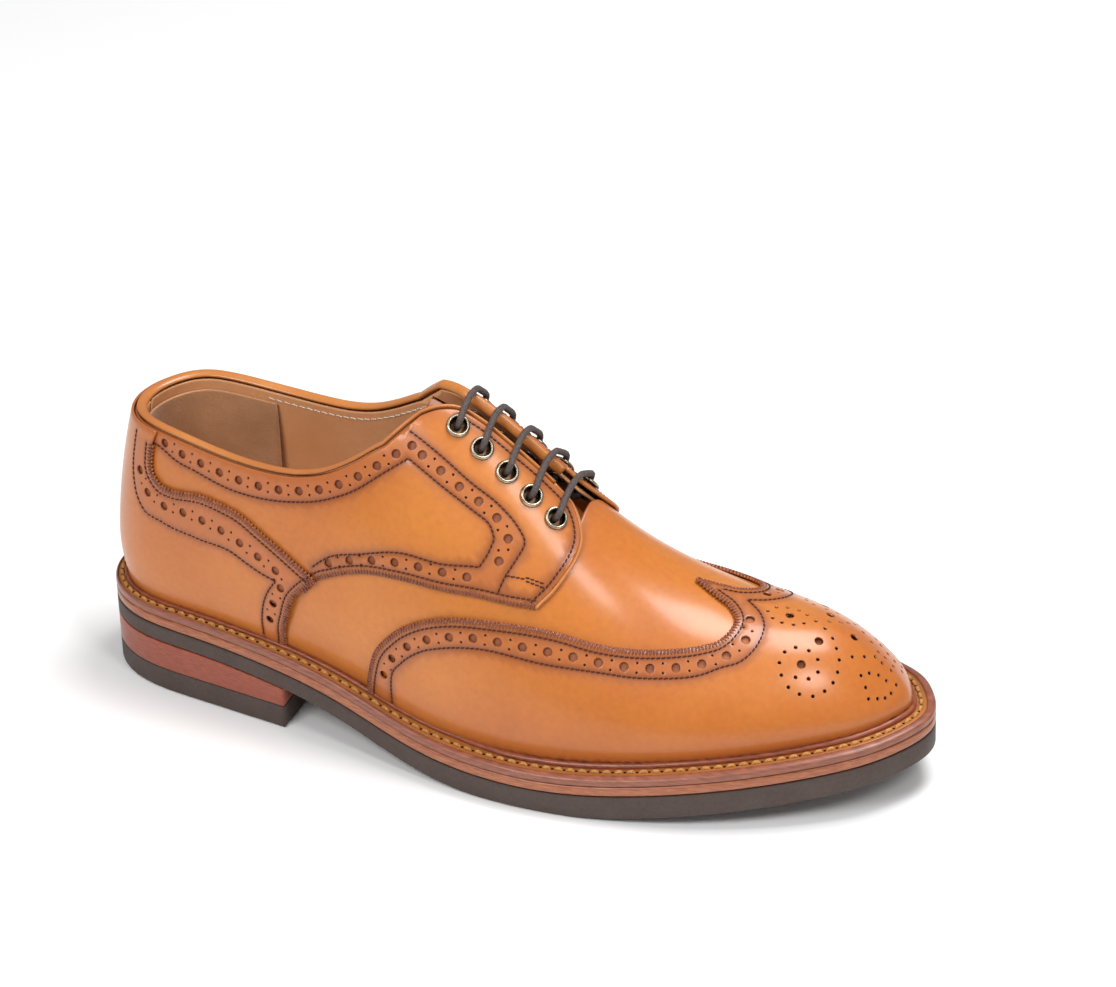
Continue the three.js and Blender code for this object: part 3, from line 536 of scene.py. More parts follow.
def panel(name, outline, layer, material, holes=(), seams=(), round_by=0.5, grid=GRID, pinch=None,
          bands=(), cuts=(), **how):
    """One leather panel: a closed shell cut to an outline, with rounded edges, holes and sewn-in seams."""
    inner, outer = LAYER[layer]
    holes = [h for h in holes
             if inside_polygon(outline, h).all() and nearest(outline, h).min() > HOLE_MARGIN]
    flat, triangles, owner = cut_sheet(outline, holes, seams, grid)
    at_hole, no_line = owner > 0, np.zeros((0, 2))
    to_seam = nearest(np.vstack([no_line, *(spaced(seam, 0.5) for seam in seams)]), flat)
    to_edge = nearest(np.vstack([outline, (outline + np.roll(outline, -1, axis=0)) / 2]), flat)
    to_edge[owner == 0] = 0
    to_notch = nearest(np.vstack([no_line, *(spaced(cut, 0.5) for cut in cuts)]), flat)

    edge_share = np.clip(to_edge / round_by, 0, 1)
    groove = GROOVE * np.exp(-(to_seam / GROOVE_WIDTH) ** 2)
    turned = np.maximum(round_by * (1 - np.sqrt(1 - (1 - edge_share) ** 2)), HOLE_ROUNDING * at_hole)
    angle, depth = unroll(flat)
    base, normal = last_point(angle, depth), last_normal(angle, depth)
    lowest = welt_top(base[:, 0]) + GAP

    def lifted(offset):
        p = base + normal * offset[:, None]
        p[:, 2] = np.maximum(p[:, 2], lowest)
        return p
    drawn_in = pinch(depth) if pinch else 0 * depth
    front = lifted(outer - turned - groove - drawn_in)
    rear = lifted(inner + 0.35 * turned - drawn_in)
    n = len(flat)
    # the open sides of the front sheet are the panel's cut edges
    directed = {(a, b) for t in triangles for a, b in ((t[0], t[1]), (t[1], t[2]), (t[2], t[0]))}
    faces = [tuple(t) for t in triangles] + [(t[0] + n, t[2] + n, t[1] + n) for t in triangles]
    faces += [(b, a, a + n, b + n) for a, b in directed if (b, a) not in directed]

    # dye and painted shade: darkened at edges and stitches, with painted shade darkening the holes and the
    # valleys between the gimping teeth over a darker dyed rim; redder in bands and at seams, and redder and
    # darker by the welt as painted shade
    burn_and_shade = np.maximum.reduce([np.where(at_hole, 0.8, 0.3 * np.exp(-to_edge / 1.2)),
                              0.85 * np.exp(-(to_seam / 1.1) ** 2), np.exp(-to_notch ** 2)])
    tint_and_welt_shade = np.maximum.reduce([np.exp(-to_edge / 3), np.exp(-to_seam / 3),
                              0.75 * np.exp(-(base[:, 2] - lowest) / WELT_SHADE)])
    for band in bands:
        tint_and_welt_shade[inside_polygon(band, flat)] = 1
    smooth = np.where(at_hole, 0.6, np.clip(np.minimum(to_edge, to_seam) - 1.2, 0, 1))
    return new_piece(name, np.vstack([front, rear]), faces, material,
                     normals=(np.vstack([normal, -normal]), np.tile(smooth, 2)),
                     marks={"burn_and_shade": np.tile(burn_and_shade, 2), "tint_and_welt_shade": np.tile(tint_and_welt_shade, 2)}, **how)


def circle(sides):
    """Cosines and sines round a circle, as columns."""
    t = np.linspace(0, 2 * np.pi, sides, endpoint=False)[:, None]
    return np.cos(t), np.sin(t)


def ring_hole(xy, radius, sides):
    c, s = circle(sides)
    return moved(np.repeat(xy[None], sides, 0), radius * c[:, 0], -radius * s[:, 0])


def quads(rings, sides, closed=False):
    """Faces between neighbouring rings of points."""
    faces = []
    for i in range(rings if closed else rings - 1):
        for j in range(sides):
            a, b = i * sides + j, i * sides + (j + 1) % sides
            faces.append((a, b, (b + sides) % (rings * sides), (a + sides) % (rings * sides)))
    return faces


def capped(rings, sides):
    """Faces of a tube with a cap at each end."""
    last = (rings - 1) * sides
    return quads(rings, sides) + [tuple(range(sides))[::-1], tuple(range(last, last + sides))]


def swept(name, rings, material, closed=False, **how):
    """A tube through rings of points."""
    rings = np.asarray(rings)
    count, sides = rings.shape[:2]
    faces = quads(count, sides, True) if closed else capped(count, sides)
    points = rings.reshape(-1, 3)
    if sum(np.dot(points[f[0]], np.cross(points[f[1]], points[f[2]])) for f in faces) < 0:
        faces = [f[::-1] for f in faces]
    return new_piece(name, points, faces, material, **how)


def copies(name, shapes, faces, material, **how):
    """One mesh of many small closed shapes that share a pattern of faces."""
    each = len(shapes[0])
    every = [tuple(v + k * each for v in face) for k in range(len(shapes)) for face in faces]
    return new_piece(name, np.vstack(shapes), every, material, **how)


STITCH_SIDES = 6
# along the stitch, thickness and height above the leather, as shares of its length and radius
STITCH_PROFILE = [(-0.5, 0.25, -0.45), (-0.4, 0.85, -0.1), (-0.18, 1.0, 0.3), (0.18, 1.0, 0.3),
                  (0.4, 0.85, -0.1), (0.5, 0.25, -0.45)]


def stitch(place, ahead, side, up, length, radius, sides):
    c, s = circle(sides)
    return np.vstack([place + ahead * share * length + up * rise * radius
                      + radius * thick * (side * c + up * s)
                      for share, thick, rise in STITCH_PROFILE])


def stitch_faces(sides):
    return [face[::-1] for face in capped(len(STITCH_PROFILE), sides)]


def stitch_rows(name, rows, offset, material, pitch=1.8, length=1.65, radius=0.29, slant=0.16,
                pinch=None, **how):
    """Rows of separate thread stitches lying on the leather along curves of the unrolled last."""
    shapes = []
    for row in rows:
        middles = spaced(row, pitch, ends=False)
        if len(middles) < 2:
            continue
        at, normal, along = rail(middles, lambda depth: offset - (pinch(depth) if pinch else 0 * depth))
        along = along * math.cos(slant) + np.cross(normal, along) * math.sin(slant)
        shapes += [stitch(p, a, s, n, length, radius, STITCH_SIDES)
                   for p, a, s, n in zip(at, along, np.cross(normal, along), normal)]
    return copies(name, shapes, stitch_faces(STITCH_SIDES), material, **how)


# ---------- materials ----------
def colour(code):
    """A #RRGGBB colour as linear RGBA."""
    values = [int(code[i:i + 2], 16) / 255 for i in (1, 3, 5)]
    return [v / 12.92 if v <= 0.04045 else ((v + 0.055) / 1.055) ** 2.4 for v in values] + [1.0]


class Nodes:
    """Small helper that adds and links shader nodes."""
    def __init__(self, name):
        self.material = bpy.data.materials.new(name)
        self.material.use_nodes = True
        self.tree = self.material.node_tree
        self.shader = self.tree.nodes["Principled BSDF"]
        self.place = self.tree.nodes.new("ShaderNodeTexCoord").outputs["Object"]

    def add(self, kind, inputs=(), **settings):
        node = self.tree.nodes.new("ShaderNode" + kind)
        for key, value in settings.items():
            setattr(node, key, value)
        for key, value in dict(inputs).items():
            self.feed(value, node.inputs[key])
        return node

    def feed(self, value, socket):
        if isinstance(value, bpy.types.NodeSocket):
            self.tree.links.new(value, socket)
        else:
            socket.default_value = value

    def noise(self, scale, detail=2.0, place=None, rough=0.5):
        return self.add("TexNoise", {"Vector": place or self.place, "Scale": scale, "Detail": detail,
                                     "Roughness": rough}).outputs["Fac"]

    def ramp(self, value, low, high, to_low=0.0, to_high=1.0):
        return self.add("MapRange", {"Value": value, "From Min": low, "From Max": high,
                                     "To Min": to_low, "To Max": to_high}).outputs["Result"]

    def math(self, operation, a, b=0.0):
        return self.add("Math", {0: a, 1: b}, operation=operation).outputs[0]

    def mix(self, share, a, b):
        node = self.add("Mix", data_type="RGBA")
        self.feed(share, node.inputs[0])
        self.feed(a, node.inputs[6])
        self.feed(b, node.inputs[7])
        return node.outputs[2]

    def mark(self, name):
        return self.add("Attribute", attribute_name=name).outputs["Fac"]

    def bump(self, height, strength, distance, under=None):
        node = self.add("Bump", {"Height": height, "Strength": strength, "Distance": distance})
        if under is not None:
            self.feed(under, node.inputs["Normal"])
        return node.outputs["Normal"]

    def finish(self, base, roughness, normal=None, **sockets):
        self.feed(base, self.shader.inputs["Base Color"])
        self.feed(roughness, self.shader.inputs["Roughness"])
        if normal is not None:
            self.feed(normal, self.shader.inputs["Normal"])
        for key, value in sockets.items():
            self.shader.inputs[key.replace("_", " ")].default_value = value
        return self.material


def calf(name, base, deep, tint, burnt_and_shade):
    """Polished calf: mottled dye, redder near seams, darkened at edges and stitches, fine grain, with
    painted shade in holes, between gimping teeth and near the welt.
    """
    n = Nodes(name)
    cloudy = n.ramp(n.noise(14, 3), 0.35, 0.7)
    dyed = n.mix(n.math("MULTIPLY", cloudy, 0.75), colour(base), colour(deep))
    speck = n.ramp(n.noise(420, 4), 0.35, 0.75, 0.0, 0.12)
    dyed = n.mix(speck, dyed, colour(burnt_and_shade))
    # redder tint in bands and near edges and seams; near the welt this tint is painted shade
    dyed = n.mix(n.math("MULTIPLY", n.mark("tint_and_welt_shade"), 0.62), dyed, colour(tint))
    # dark brown at edges and stitches; in holes and between the gimping teeth this darkening is painted
    # shade
    dyed = n.mix(n.math("MULTIPLY", n.mark("burn_and_shade"), 0.72), dyed, colour(burnt_and_shade))
    pores = n.add("TexVoronoi", {"Vector": n.place, "Scale": 1500.0}).outputs["Distance"]
    grain = n.bump(n.noise(1100, 3), 0.10, 0.0002)
    grain = n.bump(pores, 0.06, 0.00012, grain)
    grain = n.bump(n.noise(38, 3), 0.10, 0.0022, grain)
    rough = n.ramp(n.noise(60, 3), 0.3, 0.7, 0.3, 0.4)
    return n.finish(dyed, rough, grain, Coat_Weight=0.35, Coat_Roughness=0.18, Specular_IOR_Level=0.35)


def plain_leather(name, base, tint, roughness=0.5, grain=0.25, scale=500.0, coat=0.0):
    n = Nodes(name)
    share = n.ramp(n.noise(25, 4), 0.3, 0.72)
    fine = n.ramp(n.noise(scale, 4), 0.3, 0.7, 0, 0.4)
    dyed = n.mix(fine, n.mix(share, colour(base), colour(tint)), colour(tint))
    bump = n.bump(n.noise(scale * 1.7, 4), grain, 0.0003)
    rough = n.ramp(n.noise(90, 2), 0.3, 0.7, roughness - 0.05, roughness + 0.08)
    return n.finish(dyed, rough, bump, Coat_Weight=coat, Coat_Roughness=0.2)


def suede(name, base, tint):
    n = Nodes(name)
    nap = n.noise(1500, 5, rough=0.7)
    dyed = n.mix(n.ramp(n.noise(45, 4), 0.3, 0.7), colour(base), colour(tint))
    dyed = n.mix(n.ramp(nap, 0.35, 0.7, 0, 0.5), dyed, colour(tint))
    return n.finish(dyed, 0.95, n.bump(nap, 0.8, 0.0005), Sheen_Weight=0.35, Sheen_Roughness=0.5)


def layered_edge(name, base, tint, line_scale, coat=0.25):
    """A cut and waxed leather edge, with the fibres running round the shoe."""
    n = Nodes(name)
    place = n.add("Mapping", {"Vector": n.place, "Scale": (1.0, 1.0, 9.0)}).outputs["Vector"]
    fibre = n.noise(line_scale, 4, place)
    dyed = n.mix(n.ramp(fibre, 0.3, 0.7), colour(base), colour(tint))
    bump = n.bump(fibre, 0.25, 0.0004)
    rough = n.ramp(n.noise(120, 3), 0.3, 0.7, 0.34, 0.5)
    return n.finish(dyed, rough, bump, Coat_Weight=coat, Coat_Roughness=0.25)


def rubber(name, base, tint):
    n = Nodes(name)
    dust = n.noise(700, 5)
    dyed = n.mix(n.ramp(dust, 0.35, 0.75), colour(base), colour(tint))
    return n.finish(dyed, n.ramp(n.noise(80, 3), 0.3, 0.7, 0.55, 0.72), n.bump(dust, 0.3, 0.0003))


def thread(name, base, tint, gloss=0.1):
    n = Nodes(name)
    twist = n.noise(2600, 2)
    return n.finish(n.mix(n.ramp(twist, 0.35, 0.65), colour(base), colour(tint)), 0.7,
                    n.bump(twist, 0.5, 0.0002), Specular_IOR_Level=gloss)


def metal(name, base, tint):
    n = Nodes(name)
    wear = n.mix(n.ramp(n.noise(300, 4), 0.4, 0.65), colour(base), colour(tint))
    rough = n.ramp(n.noise(900, 3), 0.3, 0.7, 0.22, 0.42)
    # painted shade: where the deep mark is set, inside an eyelet's barrel, the metal turns near-black
    wear_and_barrel_shade = n.mix(n.mark("deep"), wear, colour("#120E0C"))
    return n.finish(wear_and_barrel_shade, rough, n.bump(n.noise(1500, 2), 0.08, 0.0001), Metallic=1.0)


CALF = calf("tan_calf", "#CC7B32", "#B5601F", "#AC5F36", "#4C1E12")
GIMP = plain_leather("gimped_leather", "#9A4F2C", "#5E2C1A", 0.4, 0.15, 500, 0.2)
# darker than the calf, partly as painted shade seen through the brogue holes
BACKING = plain_leather("backing_leather", "#B0673C", "#8E4A2A", 0.6, 0.3, 500)
BINDING = plain_leather("binding_leather", "#C9813F", "#AE6529", 0.36, 0.15, 800, 0.3)
LINING = plain_leather("lining_leather", "#EBB280", "#D89A68", 0.5, 0.25, 500)
TONGUE = plain_leather("tongue_leather", "#9C5526", "#7E401C", 0.45, 0.3, 600, 0.1)
SUEDE = suede("grip_suede", "#D8A273", "#B4804F")
WELT = plain_leather("welt_leather", "#C07A38", "#935524", 0.42, 0.3, 500, 0.15)
STORM = layered_edge("storm_bead", "#A1522E", "#6F301C", 260, 0.35)
EDGE = layered_edge("waxed_edge", "#9A5A42", "#743F2C", 230)
MIDSOLE = layered_edge("midsole_edge", "#B06A42", "#88472B", 230)
LIFT = layered_edge("lift_edge", "#A04B2C", "#7C341E", 330)
RUBBER = rubber("sole_rubber", "#4A3B34", "#41332D")
THREAD = thread("brown_thread", "#653628", "#3C1E17")
WELT_THREAD = thread("welt_thread", "#D6A064", "#A06C36")
# near-black discs of painted shade for the stitch holes in the welt
AWL_HOLE_SHADE = thread("awl_hole_shade", "#3A1A10", "#240F09")
LINING_THREAD = thread("lining_thread", "#F2EADF", "#C9B89F")
EYELET_METAL = metal("eyelet_metal", "#B7AE9A", "#7F7562")
STEEL = metal("shank_steel", "#9EA1A4", "#808386")
CORK = suede("cork", "#B98F63", "#7E5B3C")
INSOLE = plain_leather("insole_leather", "#CB9C6C", "#B08458", 0.6, 0.3, 400)
# darker brown as painted shade where the stiffener shows through the medallion holes
FIRM = plain_leather("stiffener_board", "#9A5A36", "#7C4426", 0.8, 0.3, 500)
LACE = thread("lace_cotton", "#665A56", "#3C3331", 0.25)
AGLET = plain_leather("aglet_film", "#3C302C", "#2C2220", 0.3, 0.1, 500, 0.3)


# ---------- outlines of the upper, [degrees, depth] as in the CAD ----------
MID_BACK = 0.8
FACING_EDGE = {OUTER_SIDE: 0.095, INNER_SIDE: 0.075}


def facing_front(side):
    d = FACING_EDGE[side]
    return [(80, 0.22), (82.3, 0.15), (84.5, d + 0.012), (87, d), (92, d), (97, d), (99.6, d + 0.015),
            (101.2, 0.16), (102, 0.22), (102, 0.29), (101.4, 0.36), (100.3, 0.44), (98.5, 0.52)]


QUARTER_LOWER = [(98.5, 0.52), (95, 0.55), (91, 0.58), (85.5, 0.63), (79.5, 0.68), (74, 0.73),
                 (69.5, 0.78), (67, 0.81), (65, 0.85)]
QUARTER_HIDDEN = [(65, 0.85), (60, 0.845), (54, 0.81), (47, 0.8), (38, 0.8), (20, 0.8), (MID_BACK, 0.8)]
COUNTER_FRONT = [(60.5, 1.0), (61, 0.96), (62, 0.92), (63, 0.88), (65, 0.84), (67, 0.81)]
COUNTER_TOP = [(67, 0.81), (65, 0.8), (61.5, 0.78), (58, 0.76), (54.5, 0.74), (50.5, 0.73),
               (46.5, 0.725), (39, 0.73), (35, 0.72), (32, 0.69), (31.5, 0.64)]
WING_EDGE = [(74.5, 1.0), (75, 0.96), (76, 0.9), (78.5, 0.83), (81.4, 0.77), (86, 0.7),
             (94, 0.62), (102.5, 0.56), (107.7, 0.54), (113.4, 0.5), (119, 0.44), (122, 0.4), (125, 0.34),
             (126.6, 0.24), (126.6, 0.17), (124.3, 0.09), (121, 0.05), (116.6, 0)]
VAMP_REAR = [(57.5, 1.0), (57.5, 0.9), (58, 0.83), (61, 0.76), (66, 0.7), (72, 0.65),
             (78, 0.6), (84, 0.55), (90, 0.49), (95, 0.42), (98.5, 0.36), (100.6, 0.3), (101.3, 0.22),
             (101.3, 0.12), (101.3, 0)]
VAMP_FRONT = [(83, 1.0), (84, 0.92), (88, 0.84), (96, 0.75), (104, 0.69), (112, 0.65),
              (119, 0.6), (126, 0.54), (131, 0.46), (134, 0.32), (135, 0.15), (135, 0)]
LINING_SEAM_REAR = [(94, 1.0), (95, 0.85), (97, 0.7), (100.3, 0.45), (101.2, 0.25), (100.6, 0.15)]
LINING_SEAM_FRONT = [(94.9, 1.0), (95.9, 0.85), (97.9, 0.7), (101.4, 0.45), (102.4, 0.25),
                     (102.6, 0.12), (102.8, 0)]
EYELETS = {
    OUTER_SIDE: [(84.8, 0.17), (88.2, 0.185), (91.7, 0.195), (95.1, 0.205), (98.5, 0.21)],
    INNER_SIDE: [(84.8, 0.24), (88.2, 0.255), (91.7, 0.26), (95.1, 0.26), (98.5, 0.24)],
}
# second stitch row of each brogue band
TOPLINE_SEAM = [(31.1, 0.64), (38.8, 0.662), (44.8, 0.677), (51.8, 0.692), (57.8, 0.687), (63.2, 0.663),
                (68.2, 0.618), (72.9, 0.543), (77.1, 0.439), (79.5, 0.373)]
CORNER_HOLE = [(79.7, 0.33), (81.7, 0.33)]   # its place, and the next hole's direction
FACING_SEAM_REAR = [(79.5, 0.373), (84.2, 0.38), (88.2, 0.38), (91.1, 0.385), (91.9, 0.41)]
FACING_SEAM_LOW = [(91.9, 0.41), (91.4, 0.46), (90.5, 0.51)]
FACING_SEAM_FRONT = [(79.1, 0.29), (83.7, 0.30), (87.7, 0.31), (91.7, 0.31), (94.5, 0.33),
                     (95.7, 0.36), (95.1, 0.42), (94, 0.49), (93.4, 0.54)]
LOWER_SEAM = [(90.5, 0.51), (85.4, 0.57), (79.6, 0.62), (73.9, 0.69), (69.3, 0.74), (66.5, 0.785)]
COUNTER_SEAM_TOP = [(22.8, 0.6), (23.4, 0.666), (24.3, 0.708), (26.8, 0.752), (30.9, 0.786), (37.9, 0.802),
                    (45.9, 0.814), (52.4, 0.819), (55.4, 0.832), (58.2, 0.843), (60.7, 0.848)]
COUNTER_SEAM_FRONT = [(60.7, 0.848), (59.2, 0.88), (58.2, 0.912), (57.3, 0.96), (57, 0.99)]
WING_SEAM = [(78.3, 0.99), (78.6, 0.92), (80.2, 0.87), (83.1, 0.81), (85.9, 0.77), (91.7, 0.71),
             (100.3, 0.67), (108.9, 0.63), (114, 0.61), (120.3, 0.57), (123.2, 0.54), (126.1, 0.49),
             (129.5, 0.44),
             (131.8, 0.35), (132.9, 0.25), (132.9, 0.17), (131.2, 0.08), (127.2, 0.0)]

STITCH_IN = 2.3                    # from a gimped edge to the stitch row beside it
FACING_ROW_IN = 2.2
TOOTH = 1.5                        # pitch of the gimping
TOOTH_DEPTH = 0.95
RIB_IN, RIB_PITCH = 0.35, 1.2      # ribs pressed across a gimped edge
BIG_HOLE, SMALL_HOLE, EYELET_HOLE = 1.6, 0.45, 3.2
PAIR_REACH = 1.65                  # each small hole's distance from the middle of its band
SINK = 0.05 - GROOVE               # height of a stitch row over the leather it is sewn into
RIB_SINK = 0.15
SIDES = ((OUTER_SIDE, "outer"), (INNER_SIDE, "inner"))


def gimped(curve, sign):
    """A cut edge with small teeth standing out to one side."""
    fine = spaced(curve, TOOTH / 3)
    out = np.tile([0.0, 0.85, 1.0], len(fine) // 3 + 1)[:len(fine)]
    out[[0, -1]] = 0
    return beside(fine, sign * TOOTH_DEPTH * out)


def brogue(curve, pitch):
    """Holes along a band: one big hole, then a pair of small ones across the band."""
    big = spaced(curve, pitch, ends=False)
    holes = [ring_hole(p, BIG_HOLE, 14) for p in big]
    pairs = (big[:-1] + big[1:]) / 2
    if len(pairs) > 1:
        for sign in (-1, 1):
            holes += [ring_hole(p, SMALL_HOLE, 8) for p in beside(pairs, sign * PAIR_REACH)]
    return holes


def chain(*parts):
    return np.vstack([parts[0], *(p[1:] for p in parts[1:])])


def below_topline(curve, lower):
    """The part of a curve that stays below the topline."""
    p = surface(curve)
    return curve[p[:, 2] < topline_height(p[:, 0]) - lower]


def own_side(curve, side, margin=0.6):
    """The part of a curve that stays on its own side of the crest."""
    return curve[side * (middle(curve[:, 0]) - curve[:, 1]) > margin]


def gimp_ribs(name, cuts, offset, pinch=None):
    """Fine ribs pressed across gimped edges; each cut comes with the side its leather lies on."""
    stitch_rows(name, [beside(cut, inwards * RIB_IN) for cut, inwards in cuts], offset, GIMP,
                pitch=RIB_PITCH, length=2.3, radius=0.36, slant=1.42, pinch=pinch)


def band_between(a, b):
    return joined(spaced(a, 1.5), spaced(b, 1.5)[::-1])


def tape(name, band, layer="backing"):
    """A strip of leather behind a brogued band."""
    panel(name, band, layer, BACKING, grid=4.0, round_by=0.1)


def build_vamp_and_wing():
    panel("vamp_leather", joined(across_crest(VAMP_REAR), across_crest(VAMP_FRONT)[::-1]), "vamp", CALF,
          replaces=["vamp"])
    wing, seams, holes, bands, cuts = {}, [], [], [], []
    for side, word in SIDES:
        cut = edge(side, WING_EDGE)
        wing[side] = gimped(cut, side)
        row, seam = beside(cut, -side * STITCH_IN), edge(side, WING_SEAM)
        seams += [own_side(row, side), seam]
        holes += brogue(between(row, seam)[6:-10], 8.9)
        bands.append(band_between(row, seam))
        cuts.append(cut)
        tape(f"wing_tape_{word}", band_between(row[8:-4], seam[8:-4]))
    panel("wing_leather", joined(wing[OUTER_SIDE], wing[INNER_SIDE][::-1], feather(INNER_SIDE, 74.5, 180),
                                 feather(OUTER_SIDE, 180, 74.5)), "outer", CALF,
          holes=holes + medallion(), seams=seams, bands=bands, cuts=cuts, replaces=["wing_cap"])
    top = LAYER["outer"][1]
    stitch_rows("wing_stitches", seams, top + SINK, THREAD)
    gimp_ribs("wing_ribs", [(cut, -side) for cut, (side, _) in zip(cuts, SIDES)], top - RIB_SINK)


def build_quarter(side, word):
    top = top_edge(side, MID_BACK, 76, BINDING_HEIGHT)
    front, cut = edge(side, facing_front(side)), edge(side, QUARTER_LOWER)
    row = beside(cut, -side * STITCH_IN)
    front_row = beside(edge(side, facing_front(side)[2:]), -side * FACING_ROW_IN)
    topline, rear, low, lower, facing = (edge(side, seam) for seam in (
        TOPLINE_SEAM, FACING_SEAM_REAR, FACING_SEAM_LOW, LOWER_SEAM, FACING_SEAM_FRONT))
    high = top_edge(side, 33, 80, BINDING_HEIGHT + 0.8)
    facing_low = chain(rear, low)
    holes = brogue(between(high, topline, 0.52)[:-3], 8.0) + brogue(between(facing, facing_low)[4:-10], 8.0)
    holes += brogue(between(row, lower)[21:-16], 8.4)
    holes.append(ring_hole(edge(side, CORNER_HOLE)[0], BIG_HOLE, 14))
    holes += [ring_hole(p, EYELET_HOLE, 20) for p in from_pattern(pattern(side, EYELETS[side]))]
    seams = [topline, rear, low, lower, facing, row, front_row]
    bands = [band_between(high, topline), band_between(facing, facing_low), band_between(row, lower)]
    outline = joined(top, front, gimped(cut, side), edge(side, QUARTER_HIDDEN))
    panel(f"quarter_{word}_leather", outline, "outer", CALF, holes=holes, seams=seams, bands=bands,
          cuts=[cut], replaces=[f"quarter_{word}"])
    surface_height = LAYER["outer"][1]
    stitch_rows(f"quarter_{word}_stitches", seams, surface_height + SINK, THREAD)
    gimp_ribs(f"quarter_{word}_ribs", [(cut, -side)], surface_height - RIB_SINK)
    stitch_rows(f"bar_tack_{word}", [edge(side, tack) for tack in BAR_TACK], surface_height, THREAD)
    tape(f"topline_tape_{word}", band_between(high[:-2], topline))
    tape(f"facing_tape_{word}", bands[1])
    tape(f"lower_tape_{word}", band_between(row[12:-4], lower[6:-4]))


def build_lining(side, word):
    outline = joined(top_edge(side, MID_BACK, 76, BINDING_HEIGHT), edge(side, facing_front(side)[:7]),
                     edge(side, LINING_SEAM_REAR)[::-1], feather(side, 94, MID_BACK))
    panel(f"quarter_{word}_lining", outline, "lining", LINING, grid=3.2,
          replaces=[f"quarter_lining_{word}"], slot="lining")
    stitch_rows(f"lining_{word}_stitches", [top_edge(side, 48, 78, BINDING_HEIGHT + 3)],
                LAYER["lining"][0] - 0.02, LINING_THREAD, pitch=3.0, length=2.4, radius=0.34, slot="lining")


def build_vamp_lining():
    panel("vamp_inner_lining", joined(across_crest(LINING_SEAM_FRONT), feather(INNER_SIDE, 94.9, 180),
                                      feather(OUTER_SIDE, 180, 94.9)), "lining", LINING, grid=3.2,
          replaces=["vamp_lining"], slot="lining")


def counter_pinch(depth):
    """How far the counter is drawn in towards the welt, where it runs down to the feather edge."""
    return 2.1 * np.clip((depth - 0.86) / 0.12, 0, 1) ** 2


def build_counter():
    sides, cuts, seams, holes, bands = {}, [], [], [], []
    for side, word in SIDES:
        cut = chain(edge(side, COUNTER_FRONT), edge(side, COUNTER_TOP))
        cuts.append(cut)
        sides[side] = np.vstack([feather(side, 0, 60.5), gimped(cut, -side),
                                 top_edge(side, 32.5, 0, BINDING_HEIGHT)])
        seam = chain(edge(side, COUNTER_SEAM_TOP), edge(side, COUNTER_SEAM_FRONT))
        row, seam = (below_topline(c, BINDING_HEIGHT + 1.2) for c in (beside(cut, side * STITCH_IN), seam))
        seams += [row, seam]
        holes += brogue(between(row[::-1], seam)[8:-6], 8.2)
        bands.append(band_between(row[::-1], seam))
        tape(f"counter_tape_{word}", band_between(row[::-1][3:-6], seam[3:-6]), "cover_backing")
    panel("counter_leather", joined(sides[OUTER_SIDE], sides[INNER_SIDE][::-1]), "cover", CALF, holes=holes,
          seams=seams, pinch=counter_pinch, bands=bands, cuts=cuts, replaces=["counter_cover"])
    top = LAYER["cover"][1]
    stitch_rows("counter_stitches", seams, top + SINK, THREAD, pinch=counter_pinch)
    gimp_ribs("counter_ribs", [(below_topline(cut, BINDING_HEIGHT + 1.5), side)
                               for cut, (side, _) in zip(cuts, SIDES)], top - RIB_SINK, counter_pinch)


# reinforcing stitches at the foot of each facing
BAR_TACK = [[(94.1, 0.484), (96.6, 0.459)], [(96.6, 0.453), (99.1, 0.437)], [(96.7, 0.463), (99.2, 0.449)]]
# the toe's punched ornament: places forward of its crossing and to either side of its axis
MEDALLION_MIDDLE, MEDALLION_TURN = (265.2, 0.1), math.radians(7)
MEDALLION_BIG = [(-9, 0), (9.8, 0), (0.9, 5), (-3.3, 11.4)]
MEDALLION_SMALL = [
    (-16.6, 0), (-14.4, 1.9), (-11.1, 2.7), (-7.3, 2.6), (-4, 1.5), (0, 0), (2.8, 1.4), (4.8, 3.1),
    (5.9, 5), (6.9, 7.1), (6.9, 9.7), (6.1, 12.2), (4.2, 14.6), (1.2, 16.6), (-2.6, 17.3), (-6, 16.8),
    (-8.5, 14.9), (-9.6, 12.5), (-8.6, 9.9), (-5.6, 8.2), (-1.7, 8), (1.1, 9.1), (1.6, 11.6),
    (-0.7, 13.7), (-4.4, 14.4), (10.1, 4.9), (13, 3.1), (15.4, 1.3), (17.3, 1.4), (19.6, 4.5), (21.9, 6.2),
    (13, 7.5),
    (14.9, 5.8), (17.3, 4.7), (14.8, 9.2), (22.5, 3.4), (16.3, 11), (18.7, 9.6), (20.7, 8.2), (19.9, 1.2),
]


def medallion():
    x, y = MEDALLION_MIDDLE
    start = np.array([x, y + float(middle(x))])
    axis = np.array([math.cos(MEDALLION_TURN), math.sin(MEDALLION_TURN)])
    square = np.array([-axis[1], axis[0]])
    return [ring_hole(from_pattern(start + axis * ahead + square * sign * aside)[0], radius, sides)
            for places, radius, sides in ((MEDALLION_BIG, 1.5, 16), (MEDALLION_SMALL, 0.62, 10))
            for ahead, aside in places for sign in ((1, -1) if aside else (1,))]


# ---------- sole and heel ----------
STATIONS = 420
DISC_SHARES = (0.0, 0.3, 0.6, 0.85)
ROUND = np.linspace(0, 2 * np.pi, STATIONS, endpoint=False)


def midsole_top(x):
    return welt_top(x) - WELT_THICK - GAP


def outsole_top(x):
    return midsole_top(x) - MIDSOLE_THICK - GAP


OUTSOLE_THICK = spline([(0, OUTSOLE_HEEL), (80, OUTSOLE_HEEL), (150, OUTSOLE_FORE), (308, OUTSOLE_FORE)])


def outsole_bottom(x):
    return np.maximum(outsole_top(x) - OUTSOLE_THICK(x), 0)


def sole_ring(inset, height, angles=ROUND):
    depth = inset(rim_point(angles)[:, 0]) if callable(inset) else inset
    xy = sole_edge(angles, depth)
    return np.column_stack([xy, height(xy[:, 0])])


